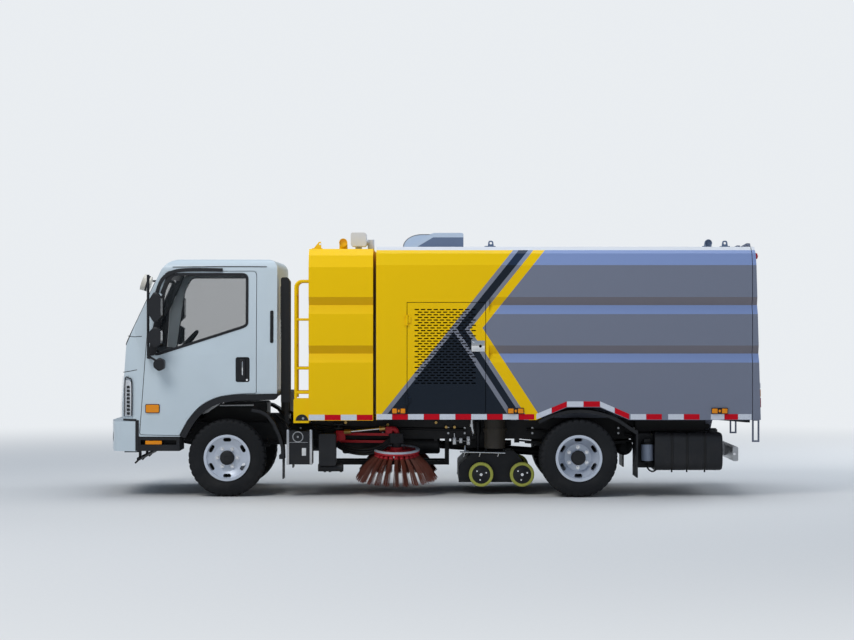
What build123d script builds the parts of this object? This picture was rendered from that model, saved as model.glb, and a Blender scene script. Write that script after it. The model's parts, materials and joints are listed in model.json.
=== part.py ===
from build123d import *

import math
import os

# Street sweeper truck: a forward-control cab, a water tank box behind it and a
# tipping body with fan room and refuse space. Units are millimetres.
# +Z is up, the front faces -X and the vehicle's left side faces -Y. The origin
# lies on the ground below the middle of the overall length and width.

# Overall
front_overhang = 1140
wheelbase = 3360
rear_overhang = 1740
overall_length = front_overhang + wheelbase + rear_overhang
front_x = -overall_length / 2
rear_x = overall_length / 2
front_axle_x = front_x + front_overhang
rear_axle_x = front_axle_x + wheelbase

# Clearances
seat_gap = 0.3        # between pieces that seat on one another
shut_gap = 6          # round doors and between moving bodies
bearing_gap = 0.3     # radial, at pins and axles

# Wheels
tyre_r = 372
tyre_w = 190
bead_r = 207
bead_w = 164
flange_r = 222
flange_t = 8
front_track_y = 815   # wheel middle planes
twin_inner_y = 675
twin_outer_y = 895
kingpin_y = 680
kingpin_r = 18
stub_r = 34
rear_stub_r = 42
hub_r = 68
rear_guard_r = 805
rear_guard_top = 838

# Chassis frame
rail_y = 388
rail_w = 74
rail_z = 530
rail_h = 160
rail_t = 8
rail_front_x = -2860
rail_rear_x = 2700
sub_h = 44
rail_top = rail_z + rail_h
sub_top = rail_top + sub_h
rail_in = rail_y - rail_w / 2
rail_out = rail_y + rail_w / 2
cross_member_x = (-2700, -1300, -500, 140, 960, 1800, 2540)
bridge_x = (-1488, -1402)
bridge_z = (772, 982)
bridge_half = 480

# Cab
cab_half = 940
cab_front_x = -3000
cab_rear_x = -1500
cab_floor_z = 578
cab_roof_z = 2270
cab_wall = 46
roof_lean = 72          # how far the sides lean in at the roof
doorway_relief = 8      # doorway cut past the side wall's inner face
door_stop = (16, 6)     # width and thickness of the lip behind the door's rear edge
door_stop_x = -1980     # the lip starts here and runs round the rear edge
waist_z = 1350
tunnel_half = 490
tunnel_z = 762
plinth_z = 1066
tilt_x = -2830
tilt_z = 640
tilt_r = 24
glass_t = 6
glass_inset = 10
windscreen_half = 800
rear_window = ((-420, 420), (1500, 2020))
arch_trim_t = 12
cab_arch = (
    # x from the front axle and z: edge of the painted side, edge of the opening; radius
    ((-449, cab_floor_z + 7), (-400, cab_floor_z), 0),
    ((-369, 734), (-325, 715), 580),
    ((-254, 872), (-225, 833), 420),
    ((-93, 953), (-80, 905), 430),
    ((91, 981), (91, 933), 900),
)
cab_arch_rear = (988, 940)   # the same two edges at the cab's rear
handle_x = (-1895, -1759)
handle_z = (1096, 1337)
handle_depth = 14

# Tipping body and water tank box
body_half = 1020
body_floor_z = 740
body_roof_z = 2390
body_front_x = -551
body_rear_x = 3024
bulkhead_x = 500
body_wall = 62
body_sheet = 46
tailgate_t = 76           # at the floor
tailgate_top_t = 30
tailgate_rib = 20
tip_x = 2660
tip_z = 655
tip_r = 26
gearbox_end_x = -1430
tank_x = (-1194, body_front_x - 30)
gear_y = -body_half + 70    # outer faces of the boxes along the left side
foot_y = (-body_half + 20, -body_half + 60)
foot_x = -1338
canister_back = -725
tank_floor_z = sub_top + seat_gap
tank_roof_z = body_roof_z - 20
side_groove = 40
side_groove_z = (1371, 1832)
hinge_x = body_rear_x + 2
hinge_z = body_roof_z + 24
hinge_r = 10
hinge_y = (-700, 0, 700)

eye_x = (544, 2787)

# Fan room doors
grille_panel_x = (-260, 493)
grille_panel_z = (762, 1861)
grille_hinge = (grille_panel_x[0] + shut_gap / 2, -body_half - 11)
grille_hinge_z = (930, 1690)
grille_pin_r = 5
grille_barrel_r = 10

# Side brush
brush_x = -362
brush_y = 620
brush_disc_z = 434
brush_disc_r = 221
brush_reach_r = 405
brush_tip_z = 140
brush_tilt = 7.5
brush_neck = 30
arm_pivot_x = -930
arm_pivot_y = 500

# Suction nozzle
nozzle_x = (240, 870)
nozzle_half = 590
nozzle_z = (130, 420)
caster_x = (455, 851)
caster_z = 198
caster_r = 118
caster_y = 650
caster_w = 56
post_x = 430
post_y = 466
post_r = 14

left = -1
right = 1
sides = (("left", left), ("right", right))


def block(x, y, z):
    """Box between the low and high values of each axis."""
    middle = ((x[0] + x[1]) / 2, (y[0] + y[1]) / 2, (z[0] + z[1]) / 2)
    return Pos(*middle) * Box(x[1] - x[0], y[1] - y[0], z[1] - z[0])


def outline_face(points, radii):
    """Closed outline with rounded corners, as a face in its own plane."""
    if radii is None:
        return make_face(Polyline(*points, close=True))
    return make_face(FilletPolyline(*points, radius=radii, close=True))


def side_form(points, y, radii=None):
    """Outline seen from the side, as (x, z) points, extruded between two y."""
    face = Plane.XZ.offset(-y[1]) * outline_face(points, radii)
    return extrude(face, amount=y[1] - y[0])


def end_form(points, x, radii=None):
    """Outline seen along the length, as (y, z) points, extruded between two x."""
    face = Plane.YZ.offset(x[0]) * outline_face(points, radii)
    return extrude(face, amount=x[1] - x[0])


def plan_form(points, z, radii=None):
    """Outline seen from above, as (x, y) points, extruded between two z."""
    face = Plane.XY.offset(z[0]) * outline_face(points, radii)
    return extrude(face, amount=z[1] - z[0])


def rod(start, end, r):
    """Round bar from one point to another."""
    along = Vector(*end) - Vector(*start)
    bar = Cylinder(r, along.length, align=(Align.CENTER, Align.CENTER, Align.MIN))
    return Plane(origin=start, z_dir=along) * bar


def pipe(start, end, r, wall):
    """Open tube from one point to another."""
    return rod(start, end, r) - rod(start, end, r - wall)


def turned(profile, place):
    """Ring or disc turned about the Y axis from (y, radius) points."""
    face = make_face(Polyline(*[(radius, y) for y, radius in profile], close=True))
    spun = revolve(Plane.XY * face, axis=Axis.Y)
    return Pos(*place) * spun


def mirrored(solid):
    """The same piece on the other side of the vehicle."""
    return mirror(solid, about=Plane.XZ)


def for_side(solid, side):
    """Piece drawn on the left side, mirrored when the right one is wanted."""
    return solid if side == left else mirrored(solid)


def both_sides(solid):
    """Piece drawn on the left side, with its mirror image."""
    return [solid, mirrored(solid)]


def band(points, thickness):
    """Sheet outline that follows (x, z) points and has its thickness below them."""
    low = []
    for index, point in enumerate(points):
        before = points[max(index - 1, 0)]
        after = points[min(index + 1, len(points) - 1)]
        run = Vector(after[0] - before[0], after[1] - before[1]).normalized()
        low.append((point[0] + run.Y * thickness, point[1] - run.X * thickness))
    return points + low[::-1]


# Cab

def cab_side_outline():
    """Side view of the cab's skin: nose, raked windscreen, roof and wheel arch."""
    corners = (
        # x, z, corner radius
        (cab_front_x + 12, cab_floor_z, 30),
        (cab_front_x, 857, 300),
        (cab_front_x + 28, 1163, 600),
        (cab_front_x + 52, 1446, 60),
        (cab_front_x + 435, cab_roof_z, 200),
        (cab_rear_x, cab_roof_z, 90),
        (cab_rear_x, cab_arch_rear[1], 40),
    )
    points = [(x, z) for x, z, r in corners] + arch_edge(1)[::-1]
    return points, [r for x, z, r in corners] + arch_radii()[::-1]


def arch_edge(which):
    """Painted edge (0) or opening edge (1) of the front wheel arch, front to rear."""
    return [(front_axle_x + row[which][0], row[which][1]) for row in cab_arch]


def arch_radii():
    return [row[2] for row in cab_arch]


def cab_volume(inset):
    """Cab as one block, shrunk inwards by an inset from every outer face."""
    points, radii = cab_side_outline()
    side_face = outline_face(points, radii)
    if inset:
        side_face = offset(side_face, amount=-inset, kind=Kind.INTERSECTION)
    side = extrude(Plane.XZ.offset(-1200) * side_face, amount=2400)
    half = cab_half - inset
    front = cab_front_x - 10 + inset
    nose_r = 250 - inset
    plan = plan_form(
        [(front, -half), (cab_rear_x + 50, -half), (cab_rear_x + 50, half), (front, half)],
        (0, 2600), [nose_r, 0, 0, nose_r],
    )
    roof_half = cab_half - roof_lean - inset
    end = end_form(
        [(-half, 300), (-half, waist_z), (-roof_half, cab_roof_z + 1 - inset),
         (roof_half, cab_roof_z + 1 - inset), (half, waist_z), (half, 300)],
        (-3100, -1300), [0, 400, 110 - inset, 110 - inset, 400, 0],
    )
    tunnel = block((-3100, -1300), (-tunnel_half - inset, tunnel_half + inset),
                   (0, tunnel_z + inset))
    return side & plan & end - tunnel


def side_core(inset):
    """All that lies further inside the cab's side faces than the inset."""
    half = cab_half - inset
    roof_half = cab_half - roof_lean - inset
    return end_form(
        [(-half, 300), (-half, waist_z), (-roof_half, cab_roof_z + 1),
         (roof_half, cab_roof_z + 1), (half, waist_z), (half, 300)],
        (-3100, -1300), [0, 400, 110 - inset, 110 - inset, 400, 0],
    )


def door_outline(grow):
    """Side view of the door, grown outwards by an amount on every edge."""
    corners = (
        (-2813, cab_floor_z + 14),
        (-2726, 1790),
        (-2560, 2160),
        (-1693, 2160),
        (-1693, cab_arch_rear[0]),
    )
    arch = arch_edge(0)[::-1]
    radii = [25, 200, 60, 40, 20] + arch_radii()[:0:-1] + [10]
    face = outline_face(list(corners) + arch, radii)
    return offset(face, amount=grow) if grow else face


def window_outline(grow):
    """Side view of the door's window opening with its falling front quarter."""
    corners = ((-2666, 1359), (-2571, 1979), (-2496, 2120), (-1793, 2120),
               (-1793, 1650), (-1830, 1630))
    face = outline_face(corners, [30, 60, 40, 40, 20, 60])
    return offset(face, amount=grow) if grow else face


def through_left(face):
    """Side view face pushed through the left wall of the cab."""
    return extrude(Plane.XZ.offset(600) * face, amount=600)


def through_both(face):
    """Side view face pushed through both walls of the cab."""
    return extrude(Plane.XZ.offset(-1200) * face, amount=2400)


def windscreen_cut(shrink):
    """Wedge that cuts the windscreen opening out of the nose."""
    face = outline_face([(-2990, 1500), (-2760, 1400), (-2470, 2025), (-2700, 2130)], None)
    if shrink:
        face = offset(face, amount=-shrink, kind=Kind.INTERSECTION)
    half = windscreen_half - shrink
    return extrude(Plane.XZ.offset(-half) * face, amount=2 * half)


def rear_window_cut(shrink):
    y, z = rear_window
    return block((cab_rear_x - 120, cab_rear_x + 60), (y[0] + shrink, y[1] - shrink),
                 (z[0] + shrink, z[1] - shrink))


def make_cab():
    skin = cab_volume(0)
    shell = skin - cab_volume(cab_wall)
    glazing = cab_volume(glass_inset) - cab_volume(glass_inset + glass_t)
    opening = through_both(door_outline(0)) - side_core(cab_wall + doorway_relief)
    cab = shell - windscreen_cut(0) - rear_window_cut(0) - opening
    stop = cab_volume(cab_wall) - cab_volume(cab_wall + door_stop[1])
    stop = stop & through_both(door_outline(12)) & block(
        (door_stop_x, cab_rear_x), (-cab_half, cab_half), (900, cab_roof_z))
    cab = cab + (stop - through_both(door_outline(-door_stop[0])))
    lugs = []
    for side in (left, right):
        y = side * (tunnel_half - 45)
        lug = block((tilt_x - 45, tilt_x + 45), (y - 20, y + 20), (tilt_z - 45, tunnel_z + 4))
        lugs.append(lug - rod((tilt_x, y - 30, tilt_z), (tilt_x, y + 30, tilt_z),
                              tilt_r + bearing_gap))
    plinth = block((-2260, -1620), (-730, 730), (950, plinth_z)) & cab_volume(10)
    cab = cab + plinth
    for lug in lugs:
        cab = cab + lug
    glass = [glazing & windscreen_cut(seat_gap), glazing & rear_window_cut(seat_gap)]
    side_skin = skin - side_core(cab_wall)
    panel = side_skin & through_left(door_outline(-shut_gap))
    recess = block(handle_x, (-cab_half - 20, -cab_half + handle_depth), handle_z)
    recess = fillet(recess.edges().filter_by(Axis.Y), 25)
    door = panel - through_left(window_outline(0)) - recess
    pane = glazing & through_left(window_outline(-seat_gap))
    return cab, glass, door, pane


def make_bumper():
    """Wrap-round bumper with a bulged middle and a lower air slot."""
    plan = plan_form(
        [(front_x, -520), (front_x, 520), (front_x + 60, cab_half - 60),
         (front_x + 284, cab_half), (front_x + 284, cab_half - 60),
         (front_x + 150, cab_half - 150), (front_x + 118, 500),
         (front_x + 118, -500), (front_x + 150, -cab_half + 150),
         (front_x + 284, -cab_half + 60), (front_x + 284, -cab_half),
         (front_x + 60, -cab_half + 60)],
        (437, 722), [60, 60, 90, 0, 0, 60, 0, 0, 60, 0, 0, 90],
    )
    slot = block((front_x - 10, front_x + 190), (-430, 430), (520, 610))
    number_recess = block((front_x - 10, front_x + 12), (-270, 270), (625, 700))
    return plan - slot - number_recess - cab_volume(-seat_gap)


def make_headlamp():
    """Upright lamp housing that wraps the left front corner."""
    layer = cab_volume(-14) - cab_volume(-seat_gap)
    face = outline_face([(-3020, 749), (-3020, 1150), (-2905, 1150), (-2878, 1100),
                         (-2878, 749)], [10, 10, 40, 30, 30])
    lamp = layer & through_left(face)
    return lamp & block((-3100, -2800), (-1000, -640), (700, 1200))


def make_cab_trim():
    """Steps, wheel arch trims, grille bars and the spray bar under the bumper."""
    pieces = both_sides(make_arch_trim())
    step = block((-2836, front_axle_x - 449), (-cab_half + 4, -tunnel_half - 20),
                 (440, cab_floor_z - seat_gap))
    tread = block((-2800, front_axle_x - 480), (-cab_half - 10, -cab_half + 120), (500, 545))
    pieces += both_sides(step - tread)
    grille = cab_volume(-10) - cab_volume(-seat_gap)
    for low in range(800, 1060, 52):
        pieces.append(grille & block((-3100, -2900), (-560, 560), (low, low + 30)))
    spray = rod((-2850, -700, 350), (-2850, 700, 350), 17)
    for y in (-560, 0, 560):
        spray = spray + block((-2862, -2838), (y - 20, y + 20), (340, 437 - seat_gap))
        spray = spray + rod((-2850, y, 350), (-2900, y, 300), 9)
    hanger_z = (437 - seat_gap - 30, 437 - seat_gap)
    for side in (left, right):
        y = side * 560
        spray = spray + block((-3000, -2838), (y - 20, y + 20), hanger_z)
    spray = spray + block((-3010, -2838), (-20, 20), hanger_z)
    pieces.append(spray)
    return pieces


def make_arch_trim():
    """Trim along the left front wheel arch that wraps under the opening's edge."""
    layer = cab_volume(-arch_trim_t) - cab_volume(-seat_gap)
    drop = 2 * arch_trim_t
    rear = cab_rear_x + 8
    upper = arch_edge(0)[::-1]
    lower = [(x + drop, z - drop) for x, z in arch_edge(1)]
    radii = arch_radii()
    face = outline_face([(rear, cab_arch_rear[0])] + upper + lower
                        + [(rear, cab_arch_rear[1] - drop)], [0] + radii[::-1] + radii + [0])
    side = through_left(face) & block((-3000, rear), (-cab_half - 40, -cab_half + 60), (0, 2000))
    return layer & side


def make_seat(side):
    """Seat cushion and back rest as one soft block on the plinth."""
    y = side * 470
    low = plinth_z + seat_gap
    cushion = side_form([(-2330, low + 20), (-2250, low), (-1800, low), (-1800, 1190),
                         (-2330, 1210)],
                        (y - 240, y + 240), [30, 10, 0, 40, 60])
    back = side_form([(-1860, 1120), (-1720, low + 20), (-1610, 1760), (-1730, 1780)],
                     (y - 225, y + 225), [20, 20, 50, 50])
    return cushion + back


def make_dashboard():
    """Dashboard, steering column and steering wheel."""
    board = side_form([(-2900, 1120), (-2900, 1420), (-2620, 1400), (-2560, 1180),
                       (-2700, 1120)], (-870, 870), [0, 20, 60, 60, 20])
    board = board & cab_volume(cab_wall + seat_gap)
    board = board + rod((-2640, -470, 1250), (-2440, -470, 1420), 30)
    ring = Pos(-2440, -470, 1420) * (Rot(0, -50, 0) * Torus(205, 15))
    spoke = Pos(-2440, -470, 1420) * (Rot(0, -50, 0) * Box(40, 400, 14))
    cross = Pos(-2440, -470, 1420) * (Rot(0, -50, 0) * Box(400, 40, 14))
    return board + ring + spoke + cross


def make_mirror(side):
    """Mirror arm on the door with two main heads and the small kerb mirror."""
    arm_x = -2714
    out = cab_half + 120
    y = side * out
    arm = rod((arm_x, y, 1345), (arm_x, y, 2120), 13)
    lean = (1845 - waist_z) * roof_lean / (cab_roof_z - waist_z)
    for z, x, reach in ((waist_z - 15, arm_x, cab_half), (1845, -2655, cab_half - lean + 1)):
        foot = side * (reach + seat_gap)
        arm = arm + rod((arm_x, y, z), (x, foot + side * 20, z), 13)
        arm = arm + rod((x, foot + side * 30, z), (x, foot, z), 16)
    arm = arm + rod((arm_x, y, 1350), (-2610, y, 1290), 10)
    for z in (1530, 1800):
        arm = arm + rod((arm_x, y, z), (-2660, y, z), 14)
    heads = (
        # x, y from the arm inwards and outwards, z, corner radius
        ((-2700, -2585), (75, 105), (1656, 1965), 40),
        ((-2700, -2585), (70, 100), (1425, 1635), 35),
        ((-2658, -2556), (60, 60), (1205, 1334), 25),
    )
    for x, reach, z, corner_r in heads:
        span = sorted((side * (out - reach[0]), side * (out + reach[1])))
        head = block(x, span, z)
        head = fillet(head.edges().filter_by(Axis.X), corner_r)
        tall = z[1] - z[0]
        mid = x[0] + 0.5 * (x[1] - x[0])
        lens = side_form([(mid, z[1]), (x[0], z[1] - 0.3 * tall), (x[0], z[0] + 0.3 * tall),
                          (mid, z[0]), (x[1], z[0] + 0.2 * tall), (x[1], z[1] - 0.2 * tall)],
                         (span[0] - 1, span[1] + 1), [20, 40, 40, 20, 30, 30])
        arm = arm + (head & lens)
    if side == right:
        arm = arm + rod((arm_x, y, 2090), (-2960, y - 100, 2090), 10)
        arm = arm + rod((-2960, y - 100, 2090), (-2980, y - 150, 2080), 12)
        arm = arm + rod((-2945, y - 150, 2060), (-3005, y - 150, 2080), 82)
    return arm


# Running gear

def tyre_ring(y, x):
    """Tyre with beads between the rim flanges and a rounded shoulder."""
    half = tyre_w / 2
    bead = bead_w / 2 - seat_gap
    profile = (
        # y from the middle, radius
        (-bead, bead_r + seat_gap),
        (-bead, flange_r + 6),
        (-half, flange_r + 46),
        (-half + 2, tyre_r - 44),
        (-half + 14, tyre_r - 12),
        (-half + 32, tyre_r),
        (half - 32, tyre_r),
        (half - 14, tyre_r - 12),
        (half - 2, tyre_r - 44),
        (half, flange_r + 46),
        (bead, flange_r + 6),
        (bead, bead_r + seat_gap),
    )
    return turned(profile, (x, y, tyre_r))


def rim_barrel(y, x):
    """Rolled rim with a flange each side."""
    inner = bead_w / 2
    outer = inner + flange_t
    profile = (
        (-outer, bead_r - 10), (-outer, flange_r), (-inner, flange_r), (-inner, bead_r),
        (inner, bead_r), (inner, flange_r), (outer, flange_r), (outer, bead_r - 10),
        (0.5 * inner, bead_r - 18), (-0.5 * inner, bead_r - 18),
    )
    return turned(profile, (x, y, tyre_r))


def wheel_disc(y, x, depth, bore):
    """Pressed disc on the left side: a cone from the rim to the bolting face."""
    profile = (
        # y outwards is negative
        (y + depth, bore), (y + depth, 128), (y + 0.35 * depth, 172), (y, bead_r - 8),
        (y + 14, bead_r - 8), (y + 0.35 * depth + 16, 172), (y + depth + 16, 130),
        (y + depth + 16, bore),
    )
    disc = turned(profile, (x, 0, tyre_r))
    holes = [
        Pos(x, y, tyre_r) * Rot(0, 30 + 60 * turn, 0) * Pos(172, 0, 0) * Rot(90, 0, 0)
        * extrude(SlotCenterToCenter(40, 36, rotation=90), amount=200, both=True)
        for turn in range(6)
    ]
    for hole in holes:
        disc = disc - hole
    return disc


def hub(y_out, y_in, x, bore_r, bore_end):
    """Hub barrel from its cap to its back face, bored for the axle."""
    profile = ((y_out, 0), (y_out, hub_r - 14), (y_out + 14, hub_r), (y_in, hub_r), (y_in, 0))
    barrel = turned(profile, (x, 0, tyre_r))
    return barrel - rod((x, bore_end, tyre_r), (x, y_in + 10, tyre_r), bore_r + bearing_gap)


def make_front_rim(side):
    y = -front_track_y
    disc_y = y - 62
    rim = rim_barrel(y, front_axle_x)
    rim = rim + wheel_disc(disc_y, front_axle_x, 28, hub_r - 20)
    rim = rim + hub(disc_y - 20, -kingpin_y - 78, front_axle_x, stub_r, disc_y + 14)
    return for_side(rim, side)


def make_rear_rims(side):
    rim = rim_barrel(-twin_outer_y, rear_axle_x) + rim_barrel(-twin_inner_y, rear_axle_x)
    rim = rim + wheel_disc(-twin_outer_y - 40, rear_axle_x, 120, hub_r - 20)
    rim = rim + wheel_disc(-twin_inner_y - 66, rear_axle_x, -34, hub_r - 20)
    rim = rim + hub(-twin_outer_y - 6, -twin_inner_y + 20, rear_axle_x, rear_stub_r,
                    -twin_outer_y + 20)
    return for_side(rim, side)


def make_knuckle(side):
    """Steering knuckle: kingpin bosses above and below the beam, and the stub."""
    x = front_axle_x
    z = tyre_r
    face_y = -kingpin_y - 72
    upright = block((x - 40, x + 40), (face_y, -kingpin_y - 44), (z - 90, z + 90))
    body = upright
    for low, high in ((z - 90, z - 58), (z + 58, z + 90)):
        boss = rod((x, -kingpin_y, low), (x, -kingpin_y, high), 36)
        body = body + boss + block((x - 36, x + 36), (face_y, -kingpin_y),
                                   (low, high))
    body = body + rod((x, -kingpin_y, z - 90), (x, -kingpin_y, z + 90), kingpin_r)
    body = body + rod((x, face_y, z), (x, -front_track_y - 46, z), stub_r)
    return for_side(body, side)


def leaf_spring(x, y, length, low, sag, leaves):
    """Stack of leaves under the rail, hung from an eye bracket at each end."""
    spring = None
    for leaf in range(leaves):
        half = length / 2 - leaf * length / (2.4 * leaves)
        top = low + leaves * 14 - leaf * 14
        rise = sag * 2 * half / length
        shape = side_form(
            [(x - half, top + rise), (x, top), (x + half, top + rise),
             (x + half, top + rise - 14), (x, top - 14), (x - half, top + rise - 14)],
            (y - 35, y + 35), None)
        spring = shape if spring is None else spring + shape
    for end in (-1, 1):
        eye_x = x + end * (length / 2 - 20)
        spring = spring + block((eye_x - 24, eye_x + 24), (y - 35, y + 35),
                                (low + leaves * 14 + sag - 30, rail_z - seat_gap))
    return spring


def make_front_axle():
    """Dropped beam with a forked end at each kingpin, and its leaf springs."""
    x = front_axle_x
    z = tyre_r
    beam = end_form(
        [(-kingpin_y + 46, z - 40), (-500, z - 40), (-430, z - 70), (430, z - 70),
         (500, z - 40), (kingpin_y - 46, z - 40), (kingpin_y - 46, z + 40), (480, z + 20),
         (410, z - 10), (-410, z - 10), (-480, z + 20), (-kingpin_y + 46, z + 40)],
        (x - 32, x + 32))
    for side in (left, right):
        y = side * kingpin_y
        eye = rod((x, y, z - 52), (x, y, z + 52), 38)
        neck = block((x - 30, x + 30), sorted((y, y - side * 60)), (z - 48, z + 48))
        hole = rod((x, y, z - 60), (x, y, z + 60), kingpin_r + bearing_gap)
        beam = beam + (eye + neck - hole)
    for side in (left, right):
        y = side * rail_y
        beam = beam + leaf_spring(x, y, 1040, z - 10, 110, 3)
    return beam


def make_rear_axle():
    """Banjo housing with stub ends inside the hubs, and its leaf springs."""
    x = rear_axle_x
    z = tyre_r
    axle = rod((x, -twin_inner_y + 26, z), (x, twin_inner_y - 26, z), 62)
    axle = axle + rod((x, -twin_outer_y + 40, z), (x, twin_outer_y - 40, z), rear_stub_r)
    banjo = Pos(x, 0, z) * Sphere(165)
    nose = rod((x - 230, 0, z), (x, 0, z), 62)
    axle = axle + banjo + nose
    for side in (left, right):
        y = side * rail_y
        axle = axle + leaf_spring(x, y, 1180, z + 30, 50, 5)
    return axle


def make_drive_shaft():
    start = (gearbox_end_x + seat_gap, 0, 560)
    end = (rear_axle_x - 230 - seat_gap, 0, tyre_r)
    flange = 16
    shaft = rod((start[0] + flange / 2, 0, start[2]), (end[0] - flange / 2, 0, end[2]), 40)
    front_flange = rod(start, (start[0] + flange, 0, start[2]), 60)
    return shaft + front_flange + rod((end[0] - flange, 0, end[2]), end, 60)


def make_frame_rails():
    """Two channel rails, each with the body's sub-frame rail on top of it."""
    open_in = rail_in - 5
    open_out = rail_out - rail_t
    rail = block((rail_front_x, rail_rear_x), (-rail_out, -rail_in), (rail_z, rail_top))
    rail = rail - block((rail_front_x - 5, rail_rear_x + 5), (-open_out, -open_in),
                        (rail_z + rail_t, rail_top - rail_t))
    sub = block((tank_x[0], tip_x + 12), (-rail_out, -rail_in), (rail_top, sub_top))
    sub = sub - block((tank_x[0] - 5, tip_x + 20), (-open_out, -open_in),
                      (rail_top + rail_t, sub_top - rail_t))
    sleeve = rod((post_x, -post_y, rail_z + 50), (post_x, -post_y, rail_top), post_r + 12)
    sleeve = sleeve + block((post_x - 16, post_x + 16), (-post_y, -rail_out + 2),
                            (rail_z + 50, rail_top))
    sleeve = sleeve - rod((post_x, -post_y, rail_z), (post_x, -post_y, rail_top + 10),
                          post_r + bearing_gap)
    pivot = rod((tilt_x, -tunnel_half + 20, tilt_z), (tilt_x, -rail_in - 4, tilt_z), tilt_r)
    tip_pin = rod((tip_x, -rail_out - 60, tip_z), (tip_x, -rail_in - 4, tip_z), tip_r)
    return both_sides(rail + sub + sleeve + pivot + tip_pin)


def make_cross_members():
    """Cross members between the rails' webs, and the bridge that carries the cab's rear."""
    reach = rail_out - rail_t - seat_gap
    members = [
        block((x - 35, x + 35), (-reach, reach), (rail_top - 72, rail_top - rail_t - seat_gap))
        for x in cross_member_x
    ]
    bridge = block(bridge_x, (-bridge_half, bridge_half), bridge_z)
    for side in (left, right):
        y = sorted((side * rail_in, side * rail_out))
        bridge = bridge + block((bridge_x[0] + 10, bridge_x[1] - 10), y,
                                (rail_top + seat_gap, bridge_z[0] + 1))
    return members + [bridge]


def make_engine():
    """Diesel engine and gearbox as one plain block between the rails."""
    block_part = side_form([(-2290, 470), (-2290, 690), (-2200, 800), (-2120, 850),
                            (-2050, 880), (-1640, 880), (-1640, 470)],
                           (-270, 270), [20, 60, 60, 60, 40, 20, 20])
    gearbox = block((-1640, gearbox_end_x), (-170, 170), (460, 760))
    mounts = block((-1900, -1840), (-rail_in + seat_gap, rail_in - seat_gap),
                   (600, 660))
    return block_part + gearbox + mounts


def make_mudguards():
    """Curved guards behind the front wheels and over the twin rear wheels."""
    front_line = [(-1746, 815), (-1658, 799), (-1603, 767), (-1544, 690), (-1494, 582),
                  (-1464, 472), (-1460, 362)]
    front = side_form(band(front_line, -30), (-930, -700))
    flap = block((-1448, -1436), (-925, -705), (173, 362 + 40))
    front = front + flap + block((-1480, -1436), (-925, -705), (362, 400))
    stay = rod((-1536, -rail_out - seat_gap, 640), (-1536, -720, 640), 16)
    front = front + stay
    rear_line = []
    for step in range(9):
        x = rear_axle_x - 388 + 96.5 * step
        rise = math.sqrt(rear_guard_r ** 2 - (x - rear_axle_x - 8) ** 2)
        rear_line.append((x, rear_guard_top - rear_guard_r + rise))
    rear_line.append((1943, 625))
    rear = side_form(band(rear_line, 30), (-1000, -575))
    for x, z in ((rear_line[0][0] + 16, rear_line[0][1] - 16), (1900, 655)):
        rear = rear + rod((x, -rail_out - seat_gap, z), (x, -990, z), 14)
    rear = rear + block((1925, 1940), (-995, -580), (190, 640))
    return both_sides(front) + both_sides(rear)


def make_battery_box():
    box_part = block((-1405, -1165), (gear_y + 20, -640), (311, 627))
    box_part = fillet(box_part.edges().filter_by(Axis.Y), 12)
    for x in (-1405, -1185):
        box_part = box_part + block((x, x + 20), (gear_y + 12, -640), (311, 640))
    stay = block((-1340, -1230), (-645, -rail_out - seat_gap), (560, 610))
    return box_part + stay


def make_air_tank():
    """Brake air tank on the right rail, opposite the battery box."""
    tank = rod((-1424, 620, 470), (-1000, 620, 470), 120)
    tank = fillet(tank.edges().filter_by(GeomType.CIRCLE), 40)
    for x in (-1360, -1080):
        tank = tank + block((x - 15, x + 15), (rail_out + seat_gap, 620), (560, 600))
    return tank


def make_fuel_tank():
    profile = [(gear_y, 253), (-500, 253), (-500, 613), (gear_y, 613)]
    waist = [(gear_y + 10, 263), (-510, 263), (-510, 603), (gear_y + 10, 603)]
    tank = end_form(profile, (2109, 2755), [90, 60, 60, 90])
    tank = fillet(tank.faces().sort_by(Axis.X)[-1].edges(), 24)
    for x in (2271, 2414, 2584):
        tank = tank - (end_form(profile, (x - 12, x + 12), [90, 60, 60, 90])
                       - end_form(waist, (x - 13, x + 13), [85, 55, 55, 85]))
    tank = tank + block((1960, 2115), (canister_back, -500), (268, 596))
    stay = block((2200, 2660), (-505, -rail_out - seat_gap), (545, 600))
    splash_plate = block((1960, 2639), (-520, -505), (560, body_floor_z - 2 * shut_gap))
    return tank + stay + splash_plate


def make_silencer():
    """Exhaust silencer inside the left rail, with its outlet pipe."""
    x0, x1 = -900, 60
    y, z = -232, 470
    can = rod((x0, y, z), (x1, y, z), 96)
    can = fillet(can.edges().filter_by(GeomType.CIRCLE), 24)
    can = can + rod((x0 - 120, y, z), (x0 + 10, y, z), 38)
    for x in (-800, 0):
        can = can + block((x, x + 34), (-rail_out, y), (rail_z - 24, rail_z - seat_gap))
    return can


def make_hydraulic_tank():
    """Hydraulic oil tank inside the right rail, opposite the silencer."""
    tank = block((-860, 60), (104, 304), (416, 596))
    tank = fillet(tank.edges().filter_by(Axis.X), 26)
    tank = tank + rod((-700, 204, 590), (-700, 204, 612), 38)
    for x in (-780, 0):
        tank = tank + block((x, x + 34), (280, rail_out), (rail_z - 24, rail_z - seat_gap))
    return tank


def make_water_pump():
    """Water pump with its motor inside the left rail, ahead of the nozzle."""
    y, z = -236, 482
    pump = rod((170, y, z), (320, y, z), 46)
    pump = fillet(pump.edges().filter_by(GeomType.CIRCLE), 10)
    pump = pump + block((310, 520), (y - 96, y + 60), (z - 44, z + 44))
    pump = pump + rod((520, y, z), (760, y, z), 26)
    for x in (210, 440):
        pump = pump + block((x, x + 34), (-rail_out, y), (rail_z - 24, rail_z - seat_gap))
        pump = pump + block((x, x + 34), (y - 16, y + 16), (z, rail_z - seat_gap))
    return pump


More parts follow.
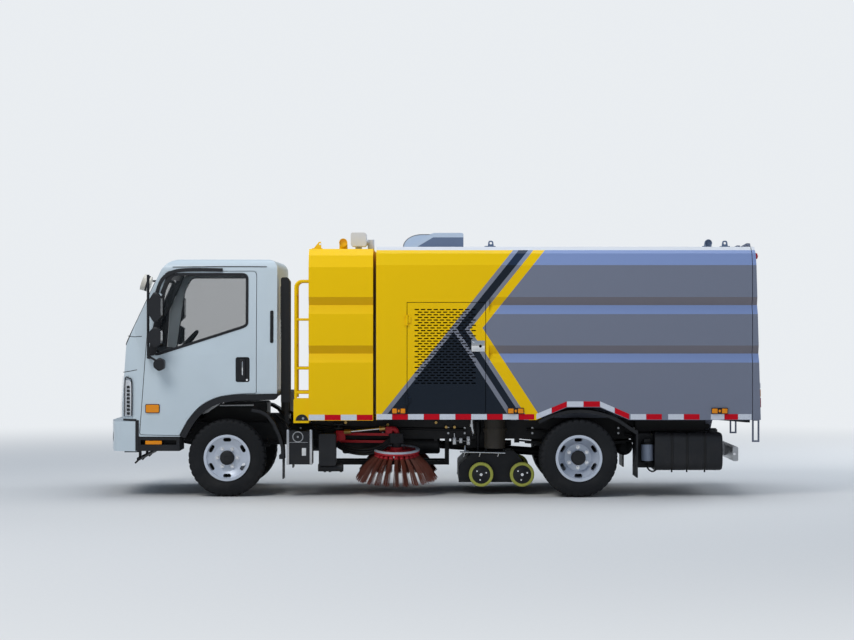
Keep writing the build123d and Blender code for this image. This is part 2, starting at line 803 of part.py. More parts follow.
def make_drag_bars():
    """Two low bars ahead of the nozzle, hung from the rails on drop brackets."""
    y = (-190, -150)
    bar = block((-1090, 150), y, (262, 302))
    for x in (-1090, 110):
        bar = bar + block((x, x + 40), y, (262, rail_z - seat_gap))
        bar = bar + block((x, x + 40), (-rail_out, y[0] + 4), (rail_z - 30, rail_z - seat_gap))
    return both_sides(bar)


def make_filter_canister():
    can = rod((2046, -800, 330), (2046, -800, 509), 60)
    stay = block((2016, 2076), (-800, canister_back - seat_gap), (509, 545))
    return can + stay


def make_underrun():
    """Rear underrun bar on two brackets from the rail ends."""
    bar = block((2843, 2897), (-980, 980), (346, 483))
    bar = fillet(bar.edges().filter_by(Axis.Y), 14)
    for side in (left, right):
        y = sorted((side * (rail_y - 20), side * (rail_y + 20)))
        bracket = side_form([(2580, rail_z - seat_gap), (2580, 480), (2800, 370), (2860, 370),
                             (2860, 470), (2690, rail_z - seat_gap)], y)
        bar = bar + bracket
    return bar


# Water tank box behind the cab

def plain_section(low, high):
    """Half outline, as (y, z), of a plain-sided section with the two roof slopes."""
    return ((body_half, low), (body_half, high - 177), (body_half - 42, high - 65),
            (body_half - 130, high))


def body_section(low, high):
    """Half outline of the section with two long grooves in its side."""
    floor, *roof = plain_section(low, high)
    grooves = []
    for groove_z in side_groove_z:
        grooves += [(body_half, groove_z - 85), (body_half - side_groove, groove_z),
                    (body_half, groove_z + 77)]
    return (floor, *grooves, *roof)


def whole_section(half_points):
    """Section with its mirror image, as one closed outline."""
    return list(half_points) + [(-y, z) for y, z in reversed(half_points)]


def make_tank_box():
    box_part = end_form(whole_section(body_section(tank_floor_z, tank_roof_z)), tank_x)
    low = tank_floor_z - 24
    foot = side_form([(foot_x, low), (tank_x[0], low), (tank_x[0], 947), (foot_x, 947)],
                     foot_y, [20, 0, 0, 20])
    hole = rod((foot_x + 80, foot_y[0] - 10, low), (foot_x + 80, foot_y[1] + 10, low), 56)
    foot = foot - (hole & block((foot_x, tank_x[0]), (foot_y[0] - 20, foot_y[1] + 20),
                                (low + 22, low + 90)))
    shelf = block((foot_x, tank_x[0]), (foot_y[0], -rail_out - 20), (low, tank_floor_z - 8))
    return box_part + foot + shelf


def make_ladder():
    """Ladder on the tank box's left front edge, with a hooped top."""
    tube_r = 14
    pieces = None
    ladder_y = (foot_y[0] + 20, foot_y[0] + 320)
    for y in ladder_y:
        rail = rod((-1318, y, 947 + seat_gap), (-1318, y, 2000), tube_r)
        hoop = Pos(-1258, y, 2000) * Rot(90, 0, 0) * Torus(60, tube_r)
        hoop = hoop & block((-1340, -1258), (y - 20, y + 20), (2000, 2100))
        top = rod((-1258, y, 2060), (tank_x[0] - seat_gap, y, 2060), tube_r)
        side_rail = rail + hoop + top
        foot = rod((-1318, y, 1000), (tank_x[0] - seat_gap, y, 1000), tube_r)
        side_rail = side_rail + foot
        for z in (1230, 1695):
            side_rail = side_rail + rod((-1318, y, z), (tank_x[0] - seat_gap, y, z), 12)
        pieces = side_rail if pieces is None else pieces + side_rail
    for z in (1230, 1462, 1695, 1928):
        pieces = pieces + rod((-1318, ladder_y[0], z), (-1318, ladder_y[1], z), 12)
    return pieces


def make_tank_fittings():
    """Roof pieces of the tank box: lifting plate, exhaust elbow and air cleaner."""
    top = tank_roof_z + seat_gap
    plate = side_form([(-1160, top), (-1080, top), (-1085, top + 70), (-1104, top + 70)],
                      (-820, -800))
    base = block((-1170, -1070), (-850, -770), (top, top + 8))
    eye = rod((-1094, -830, top + 48), (-1094, -790, top + 48), 9)
    lifting = plate + base - eye
    elbow = elbow_pipe(-880, -500, top, top + 70, 40)
    cleaner = block((-803, -653), (-700, -420), (top + 30, top + 163))
    cleaner = fillet(cleaner.edges().filter_by(Axis.Y), 20)
    cleaner = cleaner + block((-760, -700), (-640, -480), (top, top + 35))
    cleaner = cleaner + rod((-660, -560, top + 70), (-600, -560, top + 70), 28)
    drop = rod((-610, -560, top), (-610, -560, top + 98), 32)
    return [lifting, elbow, cleaner + drop]


def elbow_pipe(x, y, low, turn_z, r):
    """Quarter bend that rises from a roof and opens to the left side."""
    bend_r = turn_z - low
    ring = revolve(
        Plane(origin=(x, y, low), z_dir=(0, 0, 1)) * Circle(r),
        axis=Axis((x, y - bend_r, low), (1, 0, 0)), revolution_arc=90,
    )
    mouth = rod((x, y - bend_r, turn_z), (x, y - bend_r - 14, turn_z), r)
    bore = rod((x, y - bend_r + 12, turn_z), (x, y - bend_r - 16, turn_z), r - 5)
    return ring + mouth - bore


def make_snorkel():
    """Engine air intake duct behind the cab's left rear corner."""
    duct = side_form([(-1469, 900), (-1382, 900), (-1382, 2060), (-1410, 2100), (-1469, 2100)],
                     (-820, -640), [0, 0, 20, 20, 20])
    mouth = block((-1475, -1445), (-800, -660), (1900, 2070))
    duct = duct - mouth
    foot = block((-1440, -1400), (-700, -rail_out - seat_gap), (650, 690))
    leg = block((-1440, -1400), (-700, -660), (650, 905))
    return duct + foot + leg


def make_hydraulic_unit():
    """Hydraulic pump unit and the bracket that carries the brush arms."""
    unit = block((-1103, -942), (-880, -640), (296, 600))
    unit = fillet(unit.edges().filter_by(Axis.Y), 18)
    unit = unit + rod((-1113, -800, 272), (-870, -800, 272), 36)
    for x in (-1060, -1010, -905):
        unit = unit + rod((x, -800, 272), (x + 24, -800, 272), 43)
    unit = unit + block((-1090, -1020), (-645, -rail_out - seat_gap), (545, 590))
    pieces = [unit]
    for side in (left, right):
        pieces.append(for_side(make_pivot_bracket(), side))
    return pieces


def make_pivot_bracket():
    """Plates on the rail that hold the brush arm's upright pin."""
    inner = -rail_out - seat_gap
    pivot = (arm_pivot_x, -arm_pivot_y)
    pin = rod((*pivot, 470), (*pivot, 680), 18)
    bracket = pin
    for z in (630, 668):
        bracket = bracket + block((pivot[0] - 40, pivot[0] + 40), (pivot[1] - 30, inner),
                                  (z, z + 12))
    return bracket


def make_brush_arm(side):
    """Swinging arm from the upright pin to the motor over the brush."""
    pivot = Vector(arm_pivot_x, -arm_pivot_y, 0)
    boss = rod((pivot.X, pivot.Y, 500), (pivot.X, pivot.Y, 600), 40)
    boss = boss - rod((pivot.X, pivot.Y, 490), (pivot.X, pivot.Y, 640), 18 + bearing_gap)
    arm = boss
    for z in (500, 570):
        beam = plan_form(
            [(pivot.X + 26, pivot.Y + 22), (pivot.X + 26, pivot.Y - 22),
             (brush_x - 60, -brush_y - 25), (brush_x - 60, -brush_y + 25)], (z, z + 24))
        arm = arm + beam
    head = block((brush_x - 70, brush_x + 70), (-brush_y - 60, -brush_y + 60), (500, 594))
    head = fillet(head.edges().filter_by(Axis.Z), 20)
    motor = brush_frame() * Pos(0, 0, brush_neck) * Cylinder(
        46, 120, align=(Align.CENTER, Align.CENTER, Align.MIN))
    return for_side(arm + head + motor, side)


def brush_frame():
    """Brush axis: leans outwards at its top, so that the outer side is lower."""
    return Pos(brush_x, -brush_y, brush_disc_z) * Rot(brush_tilt, 0, 0)


def make_brush(side):
    """Brush plate with a ring of flared tufts, on a tilted axis."""
    disc = Cylinder(brush_disc_r, 24, align=(Align.CENTER, Align.CENTER, Align.MAX))
    hub_part = Cylinder(60, brush_neck - seat_gap,
                        align=(Align.CENTER, Align.CENTER, Align.MIN))
    skirt = Pos(0, 0, -24) * Cone(brush_disc_r - 40, brush_disc_r, 60,
                                  align=(Align.CENTER, Align.CENTER, Align.MAX))
    brush = disc + hub_part + skirt
    tuft_top_r = brush_disc_r - 34
    tuft_low_r = brush_reach_r - 22
    drop = brush_disc_z - brush_tip_z - 20
    for turn in range(24):
        angle = math.radians(15 * turn)
        start = (tuft_top_r * math.cos(angle), tuft_top_r * math.sin(angle), -30)
        end = (tuft_low_r * math.cos(angle), tuft_low_r * math.sin(angle), -drop)
        along = Vector(*end) - Vector(*start)
        tuft = Plane(origin=start, z_dir=along) * Cone(
            16, 24, along.length, align=(Align.CENTER, Align.CENTER, Align.MIN))
        brush = brush + tuft
    return for_side(brush_frame() * brush, side)


# Suction nozzle

def make_nozzle():
    """Suction nozzle: an open-bottomed hood with a pipe collar on its top."""
    x0, x1 = nozzle_x
    z0, z1 = nozzle_z
    hood = side_form([(x0, z0), (x0, z0 + 150), (x0 + 150, z1), (x1 - 90, z1), (x1, z1 - 120),
                      (x1, z0)], (-nozzle_half, nozzle_half), [0, 40, 60, 60, 40, 0])
    hollow = side_form([(x0 + 14, z0 - 10), (x0 + 14, z0 + 144), (x0 + 156, z1 - 14),
                        (x1 - 96, z1 - 14), (x1 - 14, z1 - 126), (x1 - 14, z0 - 10)],
                       (-nozzle_half + 14, nozzle_half - 14), [0, 30, 50, 50, 30, 0])
    channel = block((x0 - 10, x1 + 10), (-80, 80), (z0 + 205, z1 + 10))
    lining = block((x0 - 10, x1 + 10), (-94, 94), (z0 + 191, z1 + 10))
    hood = hood - channel
    hollow = hollow - lining
    nozzle = hood - hollow
    collar_x = 590
    collar = pipe((collar_x, -540, z1 - 10), (collar_x, -540, z1 + 20), 102, 8)
    nozzle = nozzle - rod((collar_x, -540, z1 - 40), (collar_x, -540, z1 + 20), 40)
    nozzle = nozzle + (collar & block((400, 800), (-nozzle_half, 0), (z1 - 14, z1 + 20)))
    for side in (left, right):
        nozzle = nozzle + rod((post_x, side * post_y, z1 - 6),
                              (post_x, side * post_y, rail_top + 16), post_r)
    for x in caster_x:
        for side in (left, right):
            y = sorted((side * (nozzle_half - 4), side * (nozzle_half + 12)))
            cheek = block((x - 40, x + 18), y, (caster_z - 30, caster_z + 60))
            nozzle = nozzle + cheek
        nozzle = nozzle - rod((x, -700, caster_z), (x, 700, caster_z), 14 + bearing_gap)
    return nozzle


def make_casters(x):
    """Pair of support wheels on one axle through the nozzle."""
    axle = rod((x, -caster_y - 34, caster_z), (x, caster_y + 34, caster_z), 14)
    for side in (left, right):
        y = side * caster_y
        wheel = rod((x, y - caster_w / 2, caster_z), (x, y + caster_w / 2, caster_z), caster_r)
        wheel = fillet(wheel.edges().filter_by(GeomType.CIRCLE), 10)
        axle = axle + wheel
    return axle


def make_suction_pipe():
    """Suction pipe between the nozzle's collar and the body's floor."""
    tube = pipe((590, -540, 446), (590, -540, body_floor_z - shut_gap), 102, 6)
    clamp = pipe((590, -540, 600), (590, -540, 640), 112, 11)
    stay = block((560, 620), (-440, -rail_out - seat_gap), (600, 640))
    stay = stay - rod((590, -540, 590), (590, -540, 650), 102)
    return tube + clamp + stay


# Tipping body

def wheel_arch_line(drop):
    """Underside of the body over the twin wheels, lowered by an amount."""
    x = rear_axle_x
    return [(x - 412, body_floor_z - drop), (x - 117, 860 - drop),
            (x + 197, 860 - drop), (x + 477, body_floor_z - drop)]


def arch_cut(grow):
    """Space over the twin wheels that the body leaves open."""
    (x0, z0), (x1, z1), (x2, z2), (x3, z3) = wheel_arch_line(-grow)
    return side_form([(x0 - grow, 600), (x0 - grow, z0 - grow), (x1 - grow / 2, z1),
                      (x2 + grow / 2, z2), (x3 + grow, z3 - grow), (x3 + grow, 600)],
                     (-1100, -540 + grow))


def grille_panel(shrink, y):
    x, z = grille_panel_x, grille_panel_z
    return block((x[0] + shrink, x[1] - shrink), y, (z[0] + shrink, z[1] - shrink))


def make_body_shell():
    """Tipping body: fan room in front, refuse space behind a bulkhead."""
    front = end_form(whole_section(plain_section(body_floor_z, body_roof_z)),
                     (body_front_x, bulkhead_x + 20))
    rear = end_form(whole_section(body_section(body_floor_z, body_roof_z)),
                    (bulkhead_x + 20, body_rear_x))
    body = front + rear
    arches = arch_cut(0)
    body = body - arches - mirrored(arches)
    inner_half = body_half - body_wall
    low = body_floor_z + body_sheet
    high = body_roof_z - body_sheet
    inner = whole_section(((inner_half, low), (inner_half, 2200), (inner_half - 90, high)))
    fan_room = end_form(inner, (body_front_x + body_sheet, bulkhead_x - 20))
    refuse = end_form(inner, (bulkhead_x + 20, body_rear_x + 10))
    boxes = arch_cut(body_sheet)
    refuse = refuse - boxes - mirrored(boxes)
    body = body - fan_room - refuse
    for side in (left, right):
        y = sorted((side * (body_half - body_wall - 20), side * (body_half + 20)))
        body = body - grille_panel(0, y)
        ear_y = side * (rail_out + 26)
        ear = side_form([(tip_x - 60, body_floor_z + 4), (tip_x + 60, body_floor_z + 4),
                         (tip_x + 34, tip_z - 34), (tip_x - 34, tip_z - 34)],
                        (ear_y - 14, ear_y + 14), [0, 0, 30, 30])
        ear = ear - rod((tip_x, ear_y - 30, tip_z), (tip_x, ear_y + 30, tip_z),
                        tip_r + bearing_gap)
        body = body + ear
    ears = grille_hinge_ears()
    body = body + ears + mirrored(ears)
    port = rod((590, -540, body_floor_z - 5), (590, -540, body_floor_z + body_sheet + 5), 96)
    body = body - port
    for y in hinge_y:
        body = body + tailgate_hinge_lug(y)
    return body


def tailgate_hinge_lug(y):
    """Ear on the roof's rear edge that holds the tailgate's hinge pin."""
    lug = side_form([(body_rear_x - 90, body_roof_z - 4), (body_rear_x - 3, body_roof_z - 4),
                     (hinge_x + 14, hinge_z - 10), (hinge_x + 14, hinge_z + 16),
                     (hinge_x - 14, hinge_z + 16)], (y - 16, y + 16), [0, 0, 6, 10, 10])
    return lug - rod((hinge_x, y - 20, hinge_z), (hinge_x, y + 20, hinge_z),
                     hinge_r + bearing_gap)


def make_tailgate():
    """Rear door hung from the roof, a ribbed panel with a flared rim."""
    x0 = body_rear_x + shut_gap
    x1 = x0 + tailgate_t
    fall = (tailgate_t - tailgate_top_t) / (body_roof_z - body_floor_z)
    panel = end_form(whole_section(body_section(body_floor_z, body_roof_z)), (x0, x1))
    lean = side_form([(x1, body_floor_z), (x0 + tailgate_top_t, body_roof_z),
                      (x1 + 10, body_roof_z + 10)], (-body_half - 10, body_half + 10))
    panel = panel - lean
    recess_half = body_half - 90
    for low, high in ((830, 1290), (1370, 1830), (1910, 2280)):
        inner = [(x1 - fall * (z - body_floor_z) - tailgate_rib, z) for z in (low, high)]
        panel = panel - side_form([inner[0], (x1 + 10, low), (x1 + 10, high), inner[1]],
                                  (-recess_half, recess_half))
    wire = 16
    for y in (-820, 820):
        loop = block((x1 - 56, rear_x), (y - 10, y + 10), (520, body_floor_z + 4))
        gap = block((x1 - 56 + wire, rear_x - wire), (y - 12, y + 12),
                    (520 + wire, body_floor_z - wire))
        panel = panel + (loop - gap)
    for y in hinge_y:
        for end in (-1, 1):
            mid = y + end * 30
            knuckle = side_form([(x0 + 1, body_roof_z - 40), (x0 + 26, body_roof_z - 40),
                                 (hinge_x + 16, hinge_z + 14), (hinge_x - 8, hinge_z + 14),
                                 (hinge_x - 8, hinge_z - 6), (x0 + 1, body_roof_z + 4)],
                                (mid - 12, mid + 12))
            panel = panel + knuckle
        panel = panel + rod((hinge_x, y - 42, hinge_z), (hinge_x, y + 42, hinge_z), hinge_r)
    return panel


def grille_hinge_ears():
    """Fixed halves of the grille door's hinges on the left side, with their pins."""
    x, y = grille_hinge
    ears = None
    for mid in grille_hinge_z:
        piece = rod((x, y, mid - 50), (x, y, mid + 50), grille_pin_r)
        for low, high in ((mid - 50, mid - 30.3), (mid + 30.3, mid + 50)):
            piece = piece + rod((x, y, low), (x, y, high), grille_barrel_r)
            piece = piece + block((x - 36, x), (-body_half - 8, -body_half + 2), (low, high))
        ears = piece if ears is None else ears + piece
    return ears


def grille_door_barrels():
    """Moving halves of the grille door's hinges on the left side."""
    x, y = grille_hinge
    barrels = None
    for mid in grille_hinge_z:
        piece = rod((x, y, mid - 30), (x, y, mid + 30), grille_barrel_r)
        piece = piece + block((x + 4, x + 36), (-body_half - 8, -body_half + 2),
                              (mid - 30, mid + 30))
        piece = piece - rod((x, y, mid - 40), (x, y, mid + 40), grille_pin_r + bearing_gap)
        barrels = piece if barrels is None else barrels + piece
    return barrels


def make_grille_door(side):
    """Fan room door with a field of slots in staggered rows."""
    outer = -body_half
    door = grille_panel(shut_gap, (outer, outer + 24))
    field_x = (-187, 398)
    field_z = (1084, 1796)
    pitch_x = 90
    pitch_z = 51
    slot_size = (66, 25)
    rows = int((field_z[1] - field_z[0]) / pitch_z)
    slots = []
    for row in range(rows):
        shift = pitch_x / 2 if row % 2 else 0
        z = field_z[1] - pitch_z * (row + 0.5)
        x = field_x[0] + pitch_x / 2 + shift
        while x + slot_size[0] / 2 < field_x[1]:
            slots.append(Pos(x, z) * Rectangle(*slot_size))
            x += pitch_x
    field = Plane.XZ.offset(-outer - 40) * Sketch(children=slots)
    door = door - extrude(field, amount=60)
    latch = block((355, 482), (outer - 12, outer + 4), (1390, 1495))
    return for_side(door + latch + grille_door_barrels(), side)


def make_fan_unit():
    """Fan and its engine in the fan room, as a scroll and one plain block."""
    motor = block((-420, 60), (-380, 380), (body_floor_z + body_sheet + seat_gap, 1320))
    scroll = rod((260, -260, 1400), (260, 260, 1400), 200)
    stem = block((160, 360), (-200, 200), (body_floor_z + body_sheet + seat_gap, 1400))
    duct = block((180, 440), (-200, 200), (1500, body_roof_z - body_sheet - seat_gap))
    shaft = rod((60, 0, 1240), (200, 0, 1240), 40)
    return motor + scroll + stem + duct + shaft


def make_roof_fittings():
    """Fan outlet hood, lifting eyes and the vent elbow on the body's roof."""
    top = body_roof_z + seat_gap
    hood = side_form([(-251, top), (-15, top + 140), (284, top + 140), (284, top)],
                     (-700, 500), [0, 120, 20, 0])
    hood = hood + side_form([(-301, top), (-190, top + 70), (284, top + 70), (284, top)],
                            (-560, 360))
    pieces = [hood]
    high = top + 60
    for x in eye_x:
        for side in (left, right):
            y = side * 830
            eye = side_form([(x - 30, top), (x + 30, top), (x + 22, high), (x - 22, high)],
                            (y - 9, y + 9), [0, 0, 18, 18])
            eye = eye + block((x - 45, x + 45), (y - 40, y + 40), (top, top + 8))
            eye = eye - rod((x, y - 20, high - 24), (x, y + 20, high - 24), 12)
            pieces.append(eye)
    pieces.append(elbow_pipe(2640, -700, top, top + 40, 36))
    return pieces


def write_node(name, shape):
    """One STEP file per sub-part; a list holds solids that don't touch."""
    solids = shape if isinstance(shape, list) else [shape]
    flat = [solid for piece in solids for solid in piece.solids()]
    whole = Compound(children=flat) if len(flat) > 1 else flat[0]
    export_step(whole, f"parts/{name}.step")


def main():
    os.makedirs("parts", exist_ok=True)
    cab, cab_glass, door, pane = make_cab()
    nodes = {
        "frame_rails": make_frame_rails(),
        "cross_members": make_cross_members(),
        "front_axle": make_front_axle(),
        "rear_axle": make_rear_axle(),
        "drive_shaft": make_drive_shaft(),
        "engine": make_engine(),
        "mudguards": make_mudguards(),
        "battery_box": make_battery_box(),
        "air_tank": make_air_tank(),
        "fuel_tank": make_fuel_tank(),
        "silencer": make_silencer(),
        "hydraulic_tank": make_hydraulic_tank(),
        "drag_bars": make_drag_bars(),
        "water_pump": make_water_pump(),
        "filter_canister": make_filter_canister(),
        "underrun_bar": make_underrun(),
        "tank_box": make_tank_box(),
        "tank_fittings": make_tank_fittings(),
        "ladder": make_ladder(),
        "intake_duct": make_snorkel(),
        "hydraulic_unit": make_hydraulic_unit(),
        "suction_pipe": make_suction_pipe(),
        "cab_shell": cab,
        "cab_glass": cab_glass,
        "bumper": make_bumper(),
        "headlamps": both_sides(make_headlamp()),
        "cab_trim": make_cab_trim(),
        "dashboard": make_dashboard(),
        "body_shell": make_body_shell(),
        "fan_unit": make_fan_unit(),
        "roof_fittings": make_roof_fittings(),
        "tailgate": make_tailgate(),
        "nozzle": make_nozzle(),
        "nozzle_wheels_front": make_casters(caster_x[0]),
        "nozzle_wheels_rear": make_casters(caster_x[1]),
    }
    front_tyre = tyre_ring(-front_track_y, front_axle_x)
    rear_tyres = [tyre_ring(-twin_outer_y, rear_axle_x), tyre_ring(-twin_inner_y, rear_axle_x)]
    for name, side in sides:
        nodes["door_" + name] = for_side(door, side)
        nodes["door_glass_" + name] = for_side(pane, side)
        nodes["mirrors_" + name] = make_mirror(side)
        nodes["seat_" + name] = make_seat(side)
        nodes["knuckle_" + name] = make_knuckle(side)
        nodes["front_tyre_" + name] = for_side(front_tyre, side)
        nodes["front_rim_" + name] = make_front_rim(side)
        nodes["rear_tyres_" + name] = [for_side(tyre, side) for tyre in rear_tyres]
        nodes["rear_rims_" + name] = make_rear_rims(side)
        nodes["grille_door_" + name] = make_grille_door(side)
        nodes["brush_arm_" + name] = make_brush_arm(side)
        nodes["brush_" + name] = make_brush(side)
    for name, shape in nodes.items():
        write_node(name, shape)


main()
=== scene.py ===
import json
import math
import random

import bmesh
import bpy
from mathutils import Matrix, Vector


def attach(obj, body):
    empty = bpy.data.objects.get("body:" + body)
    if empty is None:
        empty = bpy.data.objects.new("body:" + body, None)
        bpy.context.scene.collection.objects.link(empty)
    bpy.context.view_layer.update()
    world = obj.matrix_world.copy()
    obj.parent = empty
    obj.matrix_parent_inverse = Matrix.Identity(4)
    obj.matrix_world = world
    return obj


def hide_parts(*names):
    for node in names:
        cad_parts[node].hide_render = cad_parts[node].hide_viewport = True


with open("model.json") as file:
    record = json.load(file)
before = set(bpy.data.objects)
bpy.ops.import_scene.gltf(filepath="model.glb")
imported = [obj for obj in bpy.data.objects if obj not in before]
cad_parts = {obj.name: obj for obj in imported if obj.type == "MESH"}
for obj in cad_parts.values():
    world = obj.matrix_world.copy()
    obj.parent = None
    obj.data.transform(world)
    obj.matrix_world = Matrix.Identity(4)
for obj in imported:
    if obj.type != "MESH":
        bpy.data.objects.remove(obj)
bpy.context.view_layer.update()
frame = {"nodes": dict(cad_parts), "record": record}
nodes = frame["nodes"]
random.seed(7)

# The photograph's camera: square to the left side, long lens
near_side_y = -1.02
camera_distance = 22.0
camera_x = -0.0675
camera_z = 1.738
pixels_per_metre = 105.2
image_width = 854
image_height = 640
horizon_row = 315
backdrop = (0.82, 0.85, 0.88)

# Wheels, as packed
wheel_z = 0.372
front_axle_x = -1.98
rear_axle_x = 1.38
front_y = 0.815
twin_inner_y = 0.675
twin_outer_y = 0.895

# Body sides
body_half = 1.02
body_low = 0.74
tank_low = 0.734
roof_edge_z = 2.357     # painted white glare on the roof's top faces starts above this
tank_x = (-1.194, -0.581)
gate_low_x = 3.106      # outer face of the tailgate at the floor
gate_fall = 0.0279      # how far it leans forward for each metre up
tape_colours = ("tape_white", "tape_red")

# Frame rails' outer faces, side brushes and nozzle wheels, on the left
rail_half = 0.425
brush_frame = (Matrix.Translation((-0.362, -0.620, 0.434))
               @ Matrix.Rotation(math.radians(7.5), 4, "X"))
brush_tufts = 24
caster_z = 0.198
caster_x = {"front": 0.455, "rear": 0.851}


# Node graph helpers

def wire(tree, node, inputs):
    """Links outputs to a node's inputs; plain values are set on the sockets."""
    for key, value in inputs.items():
        socket = node.inputs[key]
        if hasattr(value, "is_output"):
            tree.links.new(value, socket)
        elif socket.type == "RGBA":
            socket.default_value = (*value, 1.0)
        else:
            socket.default_value = value


def added(tree, kind, inputs=None, **settings):
    """New shader node with its settings and inputs."""
    node = tree.nodes.new("ShaderNode" + kind)
    for key, value in settings.items():
        setattr(node, key, value)
    wire(tree, node, inputs or {})
    return node


def mat_base(name):
    """New node material with its principled shader and object coordinates."""
    material = bpy.data.materials.new(name)
    material.use_nodes = True
    tree = material.node_tree
    shader = tree.nodes["Principled BSDF"]
    return material, tree, shader, added(tree, "TexCoord").outputs["Object"]


def maths(tree, operation, a, b=0.0, c=0.0):
    return added(tree, "Math", {0: a, 1: b, 2: c}, operation=operation).outputs[0]


def above(tree, value, edge=0.0):
    """1 where the value is over the edge, else 0."""
    return maths(tree, "GREATER_THAN", value, edge)


def mixed(tree, factor, a, b):
    """Colour a where factor is 0 and b where it is 1."""
    return added(tree, "Mix", {0: factor, 6: a, 7: b}, data_type="RGBA").outputs[2]


def noise(tree, coords, scale, detail=3.0, stretch=(1, 1, 1)):
    mapped = added(tree, "Mapping", {"Vector": coords, "Scale": stretch}).outputs[0]
    return added(tree, "TexNoise", {"Vector": mapped, "Scale": scale,
                                    "Detail": detail}).outputs["Fac"]


def ramp(tree, value, low, high, out_low=0.0, out_high=1.0):
    return added(tree, "MapRange", {"Value": value, "From Min": low, "From Max": high,
                                    "To Min": out_low, "To Max": out_high},
                 interpolation_type="SMOOTHSTEP").outputs["Result"]


def bump(tree, shader, height, strength, distance):
    relief = added(tree, "Bump", {"Strength": strength, "Distance": distance,
                                  "Height": height})
    wire(tree, shader, {"Normal": relief.outputs["Normal"]})


def axis_value(tree, coords, axis):
    return added(tree, "SeparateXYZ", {0: coords}).outputs[axis]


def facing_up(tree):
    """Upward part of the surface's own direction."""
    return axis_value(tree, added(tree, "TexCoord").outputs["Normal"], "Z")


def scaled(colour, factor):
    """Colour times a number or a tint, kept within 1."""
    tint = factor if isinstance(factor, tuple) else (factor,) * 3
    return tuple(min(1.0, channel * part) for channel, part in zip(colour, tint))


def plain(name, colour, look):
    """Mottled colour with road dust low down; a function may draw the colour."""
    material, tree, shader, coords = mat_base(name)
    if callable(colour):
        colour = colour(tree, coords)
    fine = noise(tree, coords, look["grain_scale"], 4.0, look.get("stretch", (1, 1, 1)))
    broad = noise(tree, coords, 1.7, 3.0)
    if isinstance(colour, tuple):
        colour = mixed(tree, ramp(tree, broad, 0.3, 0.7), scaled(colour, 1 - look["mottle"]),
                       scaled(colour, 1 + look["mottle"]))
    low = ramp(tree, axis_value(tree, coords, "Z"), look.get("dust_top", 1.0), 0.1)
    patches = ramp(tree, noise(tree, coords, 6.0, 5.0), 0.35, 0.75)
    dust = maths(tree, "MULTIPLY", maths(tree, "MULTIPLY", low, patches), look["dust"])
    rough = look["rough"]
    wear = ramp(tree, fine, 0.25, 0.75, rough - ROUGH_SPREAD, rough + ROUGH_SPREAD)
    wire(tree, shader, {
        "Base Color": mixed(tree, dust, colour, DUST),
        "Roughness": maths(tree, "ADD", wear, maths(tree, "MULTIPLY", dust, 0.35)),
        "Metallic": look.get("metal", 0.0), "Coat Weight": look.get("coat", 0.0),
        "Coat Roughness": 0.08, "Sheen Weight": look.get("sheen", 0.0),
        "Specular IOR Level": look.get("specular", 0.5)})
    bump(tree, shader, fine, look.get("bump", 0.1), look.get("bump_depth", 0.0006))
    return material


DUST = (0.22, 0.20, 0.175)
ROUGH_SPREAD = 0.06
PAINT = {"grain_scale": 220, "mottle": 0.03, "dust": 0.06, "rough": 0.36, "coat": 0.15,
         "bump": 0.05, "bump_depth": 0.0003, "dust_top": 1.1, "specular": 0.35}
FRAME_PAINT = {"grain_scale": 90, "mottle": 0.2, "dust": 0.12, "rough": 0.5, "bump": 0.12,
               "specular": 0.3}
PLASTIC = {"grain_scale": 500, "mottle": 0.12, "dust": 0.05, "rough": 0.5, "bump": 0.18,
           "specular": 0.35}
METAL = {"grain_scale": 160, "mottle": 0.06, "dust": 0.15, "rough": 0.3, "metal": 1.0,
         "stretch": (1, 1, 8), "bump": 0.08}
RUBBER = {"grain_scale": 320, "mottle": 0.2, "dust": 0.05, "rough": 0.7, "bump": 0.22,
          "dust_top": 0.75, "specular": 0.25}
CASTER = dict(RUBBER, mottle=0.1, rough=0.55)
CLOTH = {"grain_scale": 700, "mottle": 0.15, "dust": 0.0, "rough": 0.9, "bump": 0.5,
         "sheen": 0.3}

CAB_WHITE = (0.56, 0.645, 0.70)
YELLOW = (0.91, 0.565, 0.0)
# Outlet hood's shell: pale, a painted skylight colour standing in for its faces lit from above.
HOOD_PAINTED_SKYLIGHT = (0.51, 0.60, 0.72)
HOOD_SIDE = (0.145, 0.192, 0.288)
# White: real paint on the tank fittings behind x -0.835, and painted glare on the body roof's top
# faces.
WHITE_PAINT_AND_ROOF_GLARE = (0.66, 0.68, 0.72)
YELLOW_PAINT = dict(PAINT, coat=0.03, specular=0.12, rough=0.42)
BODY_GREY = (0.191, 0.211, 0.276)
STRIPE_GREY = (0.210, 0.225, 0.275)
NAVY = (0.010, 0.016, 0.026)
ARM_RED = (0.44, 0.012, 0.022)


def slope_tone(tree, colour, under, upper):
    """One colour, with a painted ground reflection (tint under) on faces that look down and a
    painted sky reflection (tint upper) on faces that slant up.
    """
    up = facing_up(tree)
    down = maths(tree, "LESS_THAN", up, -0.2)
    return mixed(tree, above(tree, up, 0.15),
                 mixed(tree, down, colour, scaled(colour, under)), scaled(colour, upper))


def stripe_line(tree, x, z, top_x, top_z, slope):
    """How far x lies behind a slanting line, positive towards the rear."""
    along = maths(tree, "MULTIPLY_ADD", z, -slope, slope * top_z - top_x)
    return maths(tree, "ADD", x, along)


